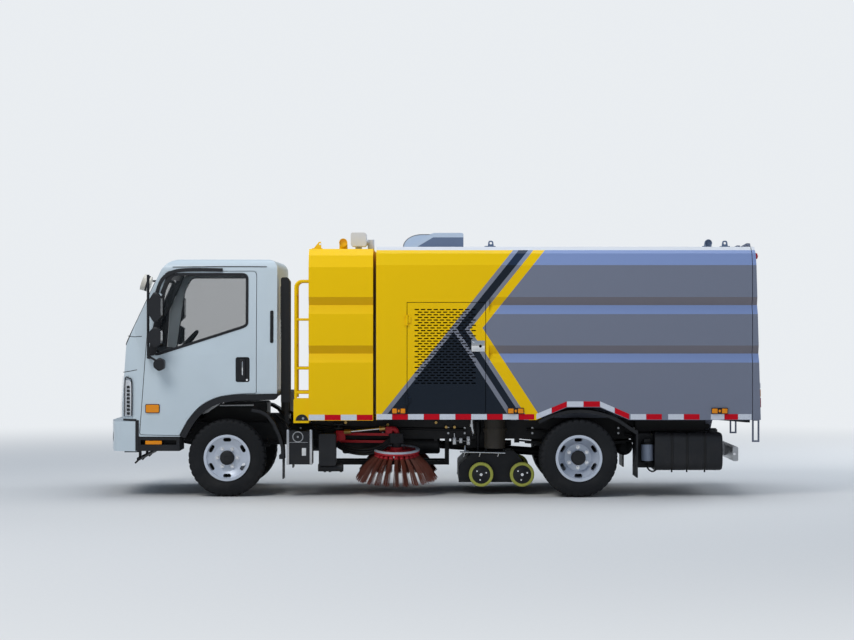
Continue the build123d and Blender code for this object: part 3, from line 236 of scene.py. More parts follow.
def body_colour(tree, coords):
    """Grey body with the yellow front part and the chevron stripes on its sides; painted sky and
    ground reflections on its slopes and painted white glare on the roof's top faces.
    """
    x = axis_value(tree, coords, "X")
    z = axis_value(tree, coords, "Z")
    slope, lower = 0.802, -0.6506
    top_z, low_z = 2.327, 0.848
    first_x, inner_x = 0.729, 0.662
    chevron = (
        # x of the upper arm at top_z, x of the lower arm at low_z
        (0.783, 0.711), (0.874, 0.783), (0.923, 0.831), (1.032, 0.959),
    )
    first = stripe_line(tree, x, z, first_x, top_z, slope)
    edges = []
    for upper_x, lower_x in chevron:
        upper = stripe_line(tree, x, z, upper_x, top_z, slope)
        under = stripe_line(tree, x, z, lower_x, low_z, lower)
        edges.append((upper, maths(tree, "MINIMUM", upper, under)))
    inner = stripe_line(tree, x, z, inner_x, low_z, lower)
    # Painted reflections: faces that look down take a darker, browner ground tint, faces that
    # slant up a lighter, bluer sky tint.
    yellow = slope_tone(tree, YELLOW, (0.92, 0.90, 1.0), (0.97, 1.0, 1.0))
    navy = slope_tone(tree, NAVY, (1.0, 1.0, 1.0), (1.4, 1.8, 2.4))
    pale = slope_tone(tree, STRIPE_GREY, (1.0, 0.95, 0.9), (1.1, 1.25, 1.5))
    grey = slope_tone(tree, BODY_GREY, (1.0, 0.85, 0.73), (1.16, 1.42, 1.95))
    colour = mixed(tree, above(tree, first), yellow, pale)
    colour = mixed(tree, above(tree, edges[0][0]), colour, navy)
    both = maths(tree, "MINIMUM", edges[0][0], inner)
    colour = mixed(tree, above(tree, both), colour, pale)
    for (upper, edge), fill in zip(edges, (navy, pale, yellow, grey)):
        colour = mixed(tree, above(tree, edge), colour, fill)
    # Painted glare: the roof's upward faces above roof_edge_z turn white.
    roof_glare = maths(tree, "MULTIPLY", above(tree, facing_up(tree), 0.8),
                 above(tree, z, roof_edge_z))
    return mixed(tree, roof_glare, colour, WHITE_PAINT_AND_ROOF_GLARE)


def roof_fitting_colour(tree, coords):
    """Grey-blue paint with a painted sky reflection on faces that slant up; above a slanting line
    the outlet hood's shell takes the pale painted skylight colour.
    """
    x = axis_value(tree, coords, "X")
    z = axis_value(tree, coords, "Z")
    slope, start_z, level_z = 0.594, 2.492, 2.487
    hood_end_x = 0.4
    edge = maths(tree, "MINIMUM", maths(tree, "MULTIPLY_ADD", x, slope, start_z), level_z)
    pale = maths(tree, "MULTIPLY", above(tree, maths(tree, "SUBTRACT", z, edge)),
                 maths(tree, "LESS_THAN", x, hood_end_x))
    side = slope_tone(tree, HOOD_SIDE, (1.0, 1.0, 1.0), (1.9, 1.8, 1.7))
    return mixed(tree, pale, side, HOOD_PAINTED_SKYLIGHT)


def tank_colour(tree, coords):
    """Yellow paint; the tank box's pressed grooves get painted shade and reflections, darker
    above on the slopes that look down and paler below on the slopes that look up.
    """
    return slope_tone(tree, YELLOW, (0.80, 0.74, 0.8), (1.04, 1.04, 1.0))


def cab_shell_colour(tree, coords):
    """Cab paint outside; near black on every face that points inwards, and on faces below the cab
    floor that look down.
    """
    normal = added(tree, "TexCoord").outputs["Normal"]
    cab_middle = (-2.2, 0.0, 1.5)
    floor_z = 1.05
    outwards = added(tree, "VectorMath", {0: coords, 1: cab_middle}, operation="SUBTRACT")
    facing = added(tree, "VectorMath", {0: outwards.outputs[0], 1: normal},
                   operation="DOT_PRODUCT")
    inward = maths(tree, "LESS_THAN", facing.outputs["Value"], 0.0)
    downward = maths(tree, "LESS_THAN", axis_value(tree, normal, "Z"), -0.3)
    low = maths(tree, "LESS_THAN", axis_value(tree, coords, "Z"), floor_z)
    inside = maths(tree, "MAXIMUM", inward, maths(tree, "MULTIPLY", downward, low))
    return mixed(tree, inside, CAB_WHITE, (0.030, 0.031, 0.034))


def zones(axis, edge, low_colour, high_colour):
    """Two colours that meet at one coordinate."""
    return lambda tree, coords: mixed(
        tree, above(tree, axis_value(tree, coords, axis), edge), low_colour, high_colour)


def caster_colour(x):
    """Coloured tread band round a black hub."""
    band_r = 0.089

    def colour(tree, coords):
        across = maths(tree, "SUBTRACT", axis_value(tree, coords, "X"), x)
        up = maths(tree, "SUBTRACT", axis_value(tree, coords, "Z"), caster_z)
        far = maths(tree, "SQRT", maths(tree, "MULTIPLY_ADD", across, across,
                                        maths(tree, "MULTIPLY", up, up)))
        return mixed(tree, above(tree, far, band_r), (0.008, 0.008, 0.012),
                     (0.46, 0.48, 0.09))
    return colour


def floor_material():
    """Pale concrete that turns into the backdrop's tone far away."""
    material, tree, shader, coords = mat_base("FloorConcrete")
    length = added(tree, "VectorMath", {0: coords}, operation="LENGTH")
    fade_start, fade_end = 4.5, 15.0
    far = ramp(tree, length.outputs["Value"], fade_start, fade_end)
    grain = noise(tree, coords, 30.0, 4.0)
    near_tone = mixed(tree, grain, (0.66, 0.66, 0.655), (0.71, 0.705, 0.70))
    wire(tree, shader, {"Base Color": mixed(tree, far, near_tone, (0.0, 0.0, 0.0)),
                        "Roughness": 0.9, "Specular IOR Level": 0.0,
                        "Emission Color": backdrop, "Emission Strength": far})
    return material


def glass(name, tint, clear):
    """Thin tinted pane: mostly clear, with a faint haze and a glossy face."""
    material, tree, shader, coords = mat_base(name)
    haze = noise(tree, coords, 3.0, 4.0)
    wire(tree, shader, {"Base Color": mixed(tree, haze, tint, scaled(tint, 0.85)),
                        "Roughness": ramp(tree, haze, 0.3, 0.8, 0.02, 0.05),
                        "Alpha": 1.0 - clear, "Specular IOR Level": 0.4})
    return material


def lamp(name, colour):
    """Moulded lens: glossy colour with fine ribs."""
    material, tree, shader, coords = mat_base(name)
    wave = added(tree, "TexWave", {"Scale": 60, "Vector": coords}).outputs["Fac"]
    wire(tree, shader, {"Base Color": mixed(tree, wave, scaled(colour, 0.75), colour),
                        "Roughness": 0.18, "Coat Weight": 0.15, "Specular IOR Level": 0.25})
    bump(tree, shader, wave, 0.3, 0.001)
    return material


def reflective_tape(name, colour):
    """Prismatic tape with a fine honeycomb under a glossy face."""
    material, tree, shader, coords = mat_base(name)
    cells = added(tree, "TexVoronoi", {"Scale": 260, "Vector": coords}).outputs["Distance"]
    shade = ramp(tree, cells, 0.1, 0.6)
    wire(tree, shader, {"Base Color": mixed(tree, shade, colour, scaled(colour, 0.82)),
                        "Roughness": 0.4, "Coat Weight": 0.04, "Specular IOR Level": 0.1})
    bump(tree, shader, cells, 0.1, 0.0004)
    return material


MAT = {
    "cab_paint": plain("CabPaint", CAB_WHITE, PAINT),
    "cab_shell_paint": plain("CabShellPaint", cab_shell_colour, PAINT),
    "roof_grey": plain("RoofFittingPaint", roof_fitting_colour,
                       dict(YELLOW_PAINT, dust=0.02)),
    "tank_roof_paint": plain("TankRoofPaint", zones("X", -0.835, YELLOW, WHITE_PAINT_AND_ROOF_GLARE), PAINT),
    # Hood front plate: all in the pale painted skylight colour.
    "hood_shell": plain("HoodShell", HOOD_PAINTED_SKYLIGHT, dict(PAINT, dust=0.0)),
    # Brush plate ring: pale blue-grey diffuse paint, a painted reflection of the sky in its
    # chrome.
    "ring_paint": plain("RingPaint", (0.50, 0.55, 0.63), dict(PAINT, dust=0.0)),
    "engine_paint": plain("EnginePaint", (0.022, 0.024, 0.026), FRAME_PAINT),
    "nozzle_paint": plain("NozzlePaint", (0.008, 0.009, 0.012), dict(FRAME_PAINT, dust=0.03)),
    "caster_front": plain("CasterFront", caster_colour(caster_x["front"]), CASTER),
    "caster_rear": plain("CasterRear", caster_colour(caster_x["rear"]), CASTER),
    "pipe_rubber": plain("PipeRubber", (0.060, 0.052, 0.042), dict(RUBBER, rough=0.5)),
    "mirror_shell": plain("PaleShell", (0.70, 0.66, 0.58), PAINT),
    "yellow_paint": plain("YellowPaint", YELLOW, YELLOW_PAINT),
    "tank_paint": plain("TankPaint", tank_colour, YELLOW_PAINT),
    "body_paint": plain("BodyPaint", body_colour, YELLOW_PAINT),
    "chassis_paint": plain("ChassisPaint", (0.007, 0.008, 0.010), FRAME_PAINT),
    "red_paint": plain("BracketPaint", ARM_RED, FRAME_PAINT),
    "arm_paint": plain("ArmPaint", zones("X", -0.440, ARM_RED, (0.010, 0.010, 0.014)),
                       FRAME_PAINT),
    "canister_paint": plain("CanisterPaint", zones("Z", 0.497, (0.34, 0.39, 0.50),
                                                   (0.010, 0.011, 0.015)),
                            dict(PLASTIC, rough=0.4)),
    "lining": plain("FanRoomLining", (0.050, 0.026, 0.022), dict(CLOTH, mottle=0.5)),
    "wheel_paint": plain("WheelPaint", (0.58, 0.63, 0.72), dict(PAINT, metal=0.25, rough=0.34)),
    "tyre": plain("TyreRubber", (0.008, 0.009, 0.011), RUBBER),
    "glass": glass("WindowGlass", (0.022, 0.029, 0.034), 0.78),
    "lamp_glass": glass("LampGlass", (0.50, 0.54, 0.60), 0.86),
    "black_plastic": plain("BlackPlastic", (0.009, 0.010, 0.013), PLASTIC),
    "steel": plain("Steel", (0.42, 0.43, 0.45), METAL),
    "aluminium": plain("Aluminium", (0.62, 0.63, 0.65), METAL),
    "seat_fabric": plain("SeatFabric", (0.045, 0.047, 0.055), CLOTH),
    "brush_bristle": plain("Bristle", (0.17, 0.040, 0.022), dict(RUBBER, dust=0.25, rough=0.6)),
    "chrome": plain("Chrome", (0.75, 0.76, 0.78), dict(METAL, rough=0.1)),
    "brass": plain("Brass", (0.55, 0.36, 0.12), dict(METAL, rough=0.35)),
    "mirror": plain("MirrorGlass", (0.80, 0.82, 0.84), dict(METAL, rough=0.05, dust=0)),
    "orange_lens": lamp("OrangeLens", (0.95, 0.31, 0.004)),
    "red_lens": lamp("RedLens", (0.55, 0.01, 0.01)),
    "white_lens": lamp("WhiteLens", (0.80, 0.82, 0.85)),
    "tape_white": reflective_tape("TapeWhite", (0.74, 0.78, 0.87)),
    "tape_red": reflective_tape("TapeRed", (0.66, 0.001, 0.014)),
    "label": plain("BlankLabel", (0.70, 0.71, 0.72), dict(PAINT, coat=0.1, rough=0.45)),
    "hose": plain("HoseRubber", (0.012, 0.012, 0.013), dict(RUBBER, rough=0.45)),
    "floor": floor_material(),
}

slot_of = {part["node"]: part["material_slot"] for part in frame["record"]["subparts"]}
slot_of.update({
    "cab_shell": "cab_shell_paint",
    "roof_fittings": "roof_grey",
    "tank_fittings": "tank_roof_paint",
    "nozzle_wheels_front": "caster_front",
    "nozzle_wheels_rear": "caster_rear",
    "suction_pipe": "pipe_rubber",
    "fan_unit": "chassis_paint",
    "tank_box": "tank_paint",
    "filter_canister": "canister_paint",
    "brush_arm_left": "arm_paint",
    "brush_arm_right": "arm_paint",
    "engine": "engine_paint",
    "nozzle": "nozzle_paint",
})
for node_name, node_object in nodes.items():
    node_object.data.materials.clear()
    node_object.data.materials.append(MAT[slot_of[node_name]])


# Mesh building

def bridge(part, rings, closed=False, caps=(0, -1)):
    """Quads from each ring of vertices to the next; an open row gets end caps."""
    for one, two in zip(rings, rings[1:] + rings[:1] if closed else rings[1:]):
        for step in range(len(one)):
            after = (step + 1) % len(one)
            part.faces.new((one[step], one[after], two[after], two[step]))
    if not closed:
        for index in caps:
            part.faces.new(rings[index])


def walls(part, front, back):
    """Quads along the edge between two equal outlines."""
    for index in range(len(front)):
        after = (index + 1) % len(front)
        part.faces.new((front[index], back[index], back[after], front[after]))


def around(count, radius=1.0, start=0.0):
    """Even angles of a circle, each with its point at the radius."""
    for step in range(count):
        angle = math.radians(start + 360 / count * step)
        yield angle, radius * math.cos(angle), radius * math.sin(angle)


def with_depth(point, depth, axis):
    """Point in space from two coordinates and the one along the axis."""
    at = "XYZ".index(axis)
    return (*point[:at], depth, *point[at:])


def smooth_path(points, steps):
    """Points along a smooth curve that passes through the given ones."""
    if len(points) < 3:
        return points
    path = []
    last = len(points) - 1
    for index in range(last):
        before = points[max(index - 1, 0)]
        one = points[index]
        two = points[index + 1]
        after = points[min(index + 2, last)]
        for step in range(steps):
            t = step / steps
            path.append(0.5 * (2 * one + (two - before) * t
                               + (2 * before - 5 * one + 4 * two - after) * t * t
                               + (3 * one - before - 3 * two + after) * t ** 3))
    path.append(points[-1])
    return path


def rounded(points, radius, steps=6):
    """Closed outline with its corners rounded."""
    result = []
    for index, point in enumerate(points):
        here = Vector(point)
        back = Vector(points[index - 1]) - here
        ahead = Vector(points[(index + 1) % len(points)]) - here
        reach = min(radius, back.length / 2, ahead.length / 2)
        start = here + back.normalized() * reach
        end = here + ahead.normalized() * reach
        for step in range(steps + 1):
            t = step / steps
            result.append(tuple((1 - t) ** 2 * start + 2 * t * (1 - t) * here + t * t * end))
    return result


def rect(low, high, radius=0.0):
    """Outline of an upright rectangle, with its corners rounded if a radius is given."""
    corners = [low, (high[0], low[1]), high, (low[0], high[1])]
    return rounded(corners, radius) if radius else corners


def skin_y(x, z):
    """Outer face of the cab's left side at a side-view point."""
    half = 0.940
    if z > 1.35:
        half -= 0.072 * (z - 1.35) / 0.92
    if x < -2.76:
        reach = min(0.2499, -2.76 - x)
        half = min(half, 0.690 + math.sqrt(0.0625 - reach * reach))
    return -half


def placed(name, data):
    """New object in the scene."""
    thing = bpy.data.objects.new(name, data)
    bpy.context.scene.collection.objects.link(thing)
    return thing


class Shape:
    """Collects simple solids in one mesh; every step gives back the shape."""

    def __init__(self, bm=None):
        self.bm = bmesh.new() if bm is None else bm

    def add(self, other, matrix=None):
        bmesh.ops.recalc_face_normals(other, faces=other.faces)
        if matrix is not None:
            bmesh.ops.transform(other, matrix=matrix, verts=other.verts)
        mesh = bpy.data.meshes.new("part")
        other.to_mesh(mesh)
        other.free()
        self.bm.from_mesh(mesh)
        bpy.data.meshes.remove(mesh)
        return self

    def box(self, low, high, bevel=0.0):
        part = bmesh.new()
        bmesh.ops.create_cube(part, size=1.0)
        size = [high[i] - low[i] for i in range(3)]
        middle = [(high[i] + low[i]) / 2 for i in range(3)]
        bmesh.ops.transform(part, matrix=Matrix.Translation(middle) @ Matrix.Diagonal((*size, 1)),
                            verts=part.verts)
        if bevel:
            bmesh.ops.bevel(part, geom=part.edges[:], offset=bevel, segments=2,
                            affect="EDGES", profile=0.5)
        return self.add(part)

    def lathe(self, profile, place, axis="Y", segments=48, closed=False, matrix=Matrix()):
        """Turns (along, radius) points about an axis through place."""
        part = bmesh.new()
        rings = [[part.verts.new(with_depth((x, y), along, axis))
                  for angle, x, y in around(segments, radius)] for along, radius in profile]
        bridge(part, rings, closed)
        return self.add(part, matrix @ Matrix.Translation(place))

    def bar(self, start, end, radius, segments=16, end_radius=None):
        """Round bar between two points."""
        start, end = Vector(start), Vector(end)
        along = end - start
        tip = radius if end_radius is None else end_radius
        turn = along.to_track_quat("Z", "Y").to_matrix().to_4x4()
        return self.lathe(((0.0, radius), (along.length, tip)), (0, 0, 0), "Z", segments,
                          matrix=Matrix.Translation(start) @ turn)

    def tube(self, points, radius, segments=12, steps=8):
        """Smooth hose or pipe through points."""
        path = smooth_path([Vector(p) for p in points], steps)
        part = bmesh.new()
        rings = []
        normal = Vector((0.123, 0.456, 0.881)).normalized()
        for index, point in enumerate(path):
            ahead = path[min(index + 1, len(path) - 1)] - path[max(index - 1, 0)]
            side = ahead.cross(normal).normalized()
            normal = side.cross(ahead).normalized()
            rings.append([part.verts.new(point + across * side + up * normal)
                          for angle, across, up in around(segments, radius)])
        bridge(part, rings)
        return self.add(part)

    def sheet(self, outline, axis, low, high):
        """Flat outline given in the other two axes, made thick along one axis."""
        part = bmesh.new()
        front, back = ([part.verts.new(with_depth(p, depth, axis)) for p in outline]
                       for depth in (low, high))
        part.faces.new(front)
        part.faces.new(back[::-1])
        walls(part, front, back)
        return self.add(part)

    def patch(self, outline, lift, depth=0.004, step=0.05):
        """Sheet that follows the cab's left side, from an (x, z) outline."""
        part = bmesh.new()
        points = []
        for a, b in zip(outline, outline[1:] + outline[:1]):
            parts = max(1, int(math.dist(a, b) / step))
            for cut in range(parts):
                t = cut / parts
                points.append((a[0] + (b[0] - a[0]) * t, a[1] + (b[1] - a[1]) * t))
        outer, inner = ([part.verts.new((x, skin_y(x, z) + rise, z)) for x, z in points]
                        for rise in (-lift, depth))
        caps = [part.faces.new(outer), part.faces.new(inner[::-1])]
        walls(part, outer, inner)
        bmesh.ops.triangulate(part, faces=caps)
        return self.add(part)

    def strip(self, line, width, lift, depth=0.004, closed=False):
        """Strip of even width along (x, z) points, laid on the cab's left side."""
        path = [Vector(p) for p in line]
        path = path if closed else smooth_path(path, 6)
        last = len(path) - 1
        part = bmesh.new()
        rows = []
        for index, point in enumerate(path):
            before = path[index - 1 if closed else max(index - 1, 0)]
            after = path[(index + 1) % len(path) if closed else min(index + 1, last)]
            run = (after - before).normalized()
            across = Vector((-run.y, run.x)) * width / 2
            rows.append([
                part.verts.new((edge.x, skin_y(edge.x, edge.y) - rise, edge.y))
                for edge, rise in ((point - across, -depth), (point - across, lift),
                                   (point + across, lift), (point + across, -depth))])
        bridge(part, rows, closed)
        return self.add(part)

    def nut(self, centre, radius, length, turn=0.0):
        """Wheel nut with a washer and a stud end, pointing to the left side."""
        x, y, z = centre
        self.lathe(((0, radius * 1.5), (-length * 0.18, radius * 1.45)), centre, "Y", 20)
        self.lathe(((-length * 0.18, radius * 1.12), (-length * 0.85, radius * 1.12),
                    (-length, radius * 0.9)), (0, 0, 0), "Y", 6,
                   matrix=Matrix.Translation(centre) @ Matrix.Rotation(turn, 4, "Y"))
        return self.bar((x, y - length * 0.9, z), (x, y - length * 1.45, z), radius * 0.5, 10)

    def mirror(self):
        """Turns the shape over to the vehicle's other side."""
        for vert in self.bm.verts:
            vert.co.y = -vert.co.y
        bmesh.ops.reverse_faces(self.bm, faces=self.bm.faces)
        return self

    def done(self, name, material, body, smooth=35, slot_name=None):
        mesh = bpy.data.meshes.new(name)
        self.bm.to_mesh(mesh)
        self.bm.free()
        mesh.materials.append(MAT[material])
        if smooth:
            mesh.shade_smooth()
            mesh.set_sharp_from_angle(angle=math.radians(smooth))
        piece = placed(name, mesh)
        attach(piece, body)
        return piece

    def both(self, label, material, body, smooth=35, slot_name=None):
        """Left piece and its mirror image; the side goes into the label and body names."""
        right = Shape(self.bm.copy()).mirror()
        return [(side, shape.done(label.format(side), material, body.format(side), smooth,
                                  slot_name))
                for side, shape in (("left", self), ("right", right))]


# Tyres with tread, nuts and hub caps

def tyre_shape(x, y):
    """Tyre at the left: ribs with grooves, shoulder lugs and a stepped sidewall."""
    shape = Shape()
    half = 0.095
    section = (
        # y from the middle, radius, whether the notch between lugs cuts it
        (-0.0815, 0.2075, 0), (-0.0815, 0.229, 0), (-0.088, 0.243, 0), (-0.0945, 0.268, 0),
        (-0.095, 0.290, 0), (-0.0945, 0.312, 0), (-0.0925, 0.314, 0), (-0.092, 0.328, 0),
        (-0.0905, 0.346, 1), (-0.083, 0.3625, 1), (-0.068, 0.3695, 1), (-0.048, 0.3712, 1),
        (-0.045, 0.361, 0), (-0.039, 0.361, 0), (-0.036, 0.3718, 0.35), (-0.016, 0.372, 0.35),
        (-0.013, 0.361, 0), (-0.007, 0.361, 0), (-0.004, 0.372, 0.35),
    )
    section = list(section) + [(-a, r, n) for a, r, n in reversed(section)]
    segments = 216
    notch_depth = 0.011
    part = shape.bm
    rings = []
    for along, radius, notch in section:
        ring = []
        for step in range(segments):
            in_notch = (step + (3 if along > 0 else 0)) % 6 < 2
            here = radius - notch * notch_depth * in_notch
            angle = 2 * math.pi * (step + (along / half) * notch * 1.2) / segments
            ring.append(part.verts.new((here * math.cos(angle), along,
                                        here * math.sin(angle))))
        rings.append(ring)
    bridge(part, rings, closed=True)
    bmesh.ops.recalc_face_normals(part, faces=part.faces)
    bmesh.ops.translate(part, verts=part.verts, vec=(x, y, wheel_z))
    return shape


def make_tyres():
    for node_stem, body_stem, x, planes in (
            ("front_tyre_", "front_wheel_", front_axle_x, (front_y,)),
            ("rear_tyres_", "rear_wheels_", rear_axle_x, (twin_outer_y, twin_inner_y))):
        for index, y in enumerate(planes):
            for name, piece in tyre_shape(x, -y).both(
                    f"Tyre_{node_stem}{{}}_{index}", "tyre", body_stem + "{}", 28, "tyre"):
                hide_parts(node_stem + name)


def make_wheel_trim():
    """Nuts and hub caps on the wheels' outer faces."""
    nut_r = 0.0125
    wheels = (
        # label, body, axle x, nuts' plane, circle, first angle and length, cap's profile
        ("Front", "front_wheel_{}", front_axle_x, -0.849, 0.095, 0, 0.022,
         ((-0.860, 0.070), (-0.892, 0.069), (-0.905, 0.062), (-0.9105, 0.048),
          (-0.9105, 0.020), (-0.907, 0.016))),
        ("Rear", "rear_wheels_{}", rear_axle_x, -0.815, 0.097, 30, 0.024,
         ((-0.860, 0.070), (-0.902, 0.070), (-0.910, 0.062), (-0.912, 0.030))),
    )
    for label, body, x, plane, circle, first, length, cap in wheels:
        nuts = Shape()
        for angle, across, up in around(6, circle, first):
            nuts.nut((x + across, plane, wheel_z + up), nut_r, length, angle)
        nuts.both(label + "WheelNuts_{}", "chrome", body, 30)
        Shape().lathe(cap, (x, 0, wheel_z), "Y", 40).both(label + "HubCap_{}", "black_plastic",
                                                          body, 30)


# Reflective tape and side markers

def tape_run(shape_of, points):
    """Segments, white first, that follow (x, z) points along a lower edge."""
    gap, rise, tall = 0.001, 0.004, 0.052
    for index, ((x0, z0), (x1, z1)) in enumerate(zip(points, points[1:])):
        low, far = x0 + gap, x1 - gap
        shape_of[tape_colours[index % 2]].sheet(
            ((low, z0 + rise), (far, z1 + rise), (far, z1 + rise + tall),
             (low, z0 + rise + tall)), "Y", -body_half - 0.0012, -body_half + 0.0004)


def straight_points(start, end, step, z):
    count = max(1, round((end - start) / step))
    return [(start + (end - start) * index / count, z) for index in range(count + 1)]


def make_tape():
    arch = ((0.972, 0.742), (1.117, 0.801), (1.262, 0.861), (1.42, 0.861), (1.577, 0.861),
            (1.717, 0.801), (1.855, 0.742))
    behind_arch = [straight_points(start, end, 0.13, body_low)
                   for start, end in ((1.866, 2.166), (2.224, 2.524), (2.63, 3.018))]
    for label, body, runs in (
            ("TankTape_", "chassis",
             [straight_points(tank_x[0] + 0.002, tank_x[1] - 0.002, 0.15, tank_low)]),
            ("BodyTape_", "tipping_body",
             [straight_points(-0.549, 0.953, 0.15, body_low), arch, *behind_arch])):
        tape = {colour: Shape() for colour in tape_colours}
        for points in runs:
            tape_run(tape, points)
        for colour, shape in tape.items():
            shape.both(label + colour + "_{}", colour, body, 0)


def make_markers():
    """Side marker lamps: black bases, each with two raised lenses and one between them."""
    base = Shape()
    lens = Shape()
    z = 0.826
    for x, half in ((-0.336, 0.066), (0.776, 0.078), (2.714, 0.078)):
        base.box((x - half, -body_half - 0.009, z - 0.03), (x + half, -body_half, z + 0.03),
                 0.004)
        for mid, reach, height in ((-0.6, 0.34, 0.023), (0.0, 0.14, 0.013),
                                   (0.6, 0.34, 0.023)):
            lens.box((x + half * (mid - reach), -body_half - 0.022, z - height),
                     (x + half * (mid + reach), -body_half - 0.007, z + height), 0.006)
    base.both("MarkerBases_{}", "black_plastic", "tipping_body")
    lens.both("MarkerLenses_{}", "orange_lens", "tipping_body")


# Fan room doors with the full field of slots

def slotted_door():
    """Door panel with staggered slots and folded edges, hinge side forward."""
    shape = Shape()
    part = shape.bm
    x0, x1, z0, z1 = -0.254, 0.487, 0.768, 1.855
    face_y = -body_half
    sheet = 0.003
    pitch_x, pitch_z = 0.060, 0.025
    slot_w, slot_h = 0.045, 0.012
    rows, columns = 29, 10
    first_x, first_z = -0.1645, 1.790
    half_x, half_z = pitch_x / 2, pitch_z / 2

    def ngon(points):
        part.faces.new([part.verts.new((x, face_y, z)) for x, z in points])

    def half_ring(x, z, sign):
        """One half of a slot's outline, in the order of its angle about the middle."""
        points = []
        for end in (1, -1):
            for step in range(7):
                angle = math.radians(-90 * end + 30 * step)
                points.append((x + end * (slot_w - slot_h) / 2 + slot_h / 2 * math.cos(angle),
                               z + slot_h / 2 * math.sin(angle)))
        return sorted((p for p in points if sign * (p[1] - z) > 1e-6),
                      key=lambda p: math.atan2(p[1] - z, p[0] - x))

    for row in range(rows):
        count = columns - row % 2
        z = first_z - pitch_z * row
        start = first_x + (half_x if row % 2 else 0.0) - half_x
        end = start + count * pitch_x
        for x_low, x_high in ((x0, start), (end, x1)):
            ngon(((x_low, z - half_z), (x_high, z - half_z), (x_high, z), (x_high, z + half_z),
                  (x_low, z + half_z)))
        for column in range(count):
            x = start + half_x + pitch_x * column
            for sign in (1, -1):
                near, far = x - sign * half_x, x + sign * half_x
                outer = z + sign * half_z
                ngon([(near, z), (near, outer), (x, outer), (far, outer), (far, z),
                      (x + sign * slot_w / 2, z)] + half_ring(x, z, sign)
                     + [(x - sign * slot_w / 2, z)])
    top_z = first_z + half_z
    low_z = first_z - pitch_z * (rows - 1) - half_z
    for z_low, z_high in ((z0, low_z), (top_z, z1)):
        ngon(((x0, z_low), (x1, z_low), (x1, z_high), (x0, z_high)))
    bmesh.ops.remove_doubles(part, verts=part.verts, dist=1e-5)
    bmesh.ops.recalc_face_normals(part, faces=part.faces)
    if sum(face.normal.y * face.calc_area() for face in part.faces) > 0:
        bmesh.ops.reverse_faces(part, faces=part.faces)
    made = bmesh.ops.extrude_face_region(part, geom=part.faces[:])
    moved = [item for item in made["geom"] if isinstance(item, bmesh.types.BMVert)]
    bmesh.ops.translate(part, verts=moved, vec=(0, sheet, 0))
    bmesh.ops.recalc_face_normals(part, faces=part.faces)
    depth = 0.024
    edge = 0.022
    for low, high in (((x0, z0), (x0 + edge, z1)), ((x1 - edge, z0), (x1, z1)),
                      ((x0, z0), (x1, z0 + edge)), ((x0, z1 - edge), (x1, z1))):
        shape.box((low[0], face_y + 0.001, low[1]), (high[0], face_y + depth, high[1]))
    return shape


def make_fan_room_doors():
    """Slotted doors with the moving hinge halves and the latch plate with its lever."""
    door = "grille_door_{}"
    for name, panel in slotted_door().both("FanDoor_{}", "body_paint", door, 0, "body_paint"):
        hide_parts("grille_door_" + name)
    hinges = Shape()
    hinge_x, hinge_y = -0.257, -1.031
    for z in (0.90, 1.66):
        top = z + 0.06
        hinges.bar((hinge_x, hinge_y, z), (hinge_x, hinge_y, top), 0.010)
        hinges.box((-0.253, -1.028, z), (-0.221, -1.019, top), 0.001)
    hinges.both("FanDoorHinges_{}", "body_paint", door, 30)
    face_y = -body_half
    latch = Shape()
    latch.box((0.355, face_y - 0.006, 1.390), (0.482, face_y + 0.002, 1.495), 0.003)
    latch.box((0.372, face_y - 0.012, 1.405), (0.465, face_y - 0.004, 1.480), 0.004)
    lever_x, lever_z = 0.44, 1.442
    latch.bar((lever_x, face_y - 0.012, lever_z), (lever_x, face_y - 0.004, lever_z), 0.014)
    latch.both("FanDoorLatch_{}", "chrome", door, 30)


# Side brushes

def brush_bristles():
    """Flared tufts of bristles under the brush plate, in the brush's own axis."""
    rng = random.Random(11)
    part = bmesh.new()
    width = 0.0019
    strands = 44
    for angle, c, s in around(brush_tufts):
        radial = Vector((c, s, 0))
        across = Vector((-s, c, 0))
        for strand in range(strands):
            spread_a = rng.uniform(-1, 1)
            spread_b = rng.uniform(-1, 1)
            start = radial * (0.180 + 0.010 * spread_a) + across * (0.012 * spread_b)
            start.z = -0.028
            end = radial * (0.372 + 0.026 * spread_a + rng.uniform(-0.006, 0.006))
            end += across * (0.030 * spread_b + rng.uniform(-0.004, 0.004))
            end.z = -0.286 + 0.018 * abs(spread_a) + rng.uniform(-0.012, 0.004)
            middle = (start + end) / 2 + radial * 0.012 + Vector((0, 0, 0.012))
            rings = [[part.verts.new(point + width * (math.cos(a) * radial
                                                      + math.sin(a) * across))
                      for a in (0, 2.09, 4.19)] for point in (start, middle, end)]
            bridge(part, rings, caps=(-1,))
    return Shape().add(part, brush_frame)


def brush_plate():
    """Plate, hub and the sockets that hold the tufts."""
    shape = Shape().lathe(
        ((0.0297, 0.058), (0.004, 0.060), (0.0, 0.075), (0.0, 0.205), (-0.004, 0.221),
         (-0.022, 0.221), (-0.026, 0.205), (-0.030, 0.100), (-0.030, 0.020)),
        (0, 0, 0), "Z", 64, matrix=brush_frame)
    flare = Matrix.Translation((0.178, 0, -0.024)) @ Matrix.Rotation(math.radians(-35), 4, "Y")
    for angle, c, s in around(brush_tufts):
        shape.lathe(((0.006, 0.019), (-0.045, 0.021)), (0, 0, 0), "Z", 12,
                    matrix=brush_frame @ Matrix.Rotation(angle, 4, "Z") @ flare)
    for angle, c, s in around(8):
        shape.lathe(((0.010, 0.010), (-0.002, 0.011)), (0.120, 0, 0), "Z", 6,
                    matrix=brush_frame @ Matrix.Rotation(angle, 4, "Z"))
    return shape


def make_brushes():
    for name, bristles in brush_bristles().both("BrushBristles_{}", "brush_bristle", "brush_{}",
                                                0, "brush_bristle"):
        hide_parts("brush_" + name)
    brush_plate().both("BrushPlate_{}", "red_paint", "brush_{}", 30)


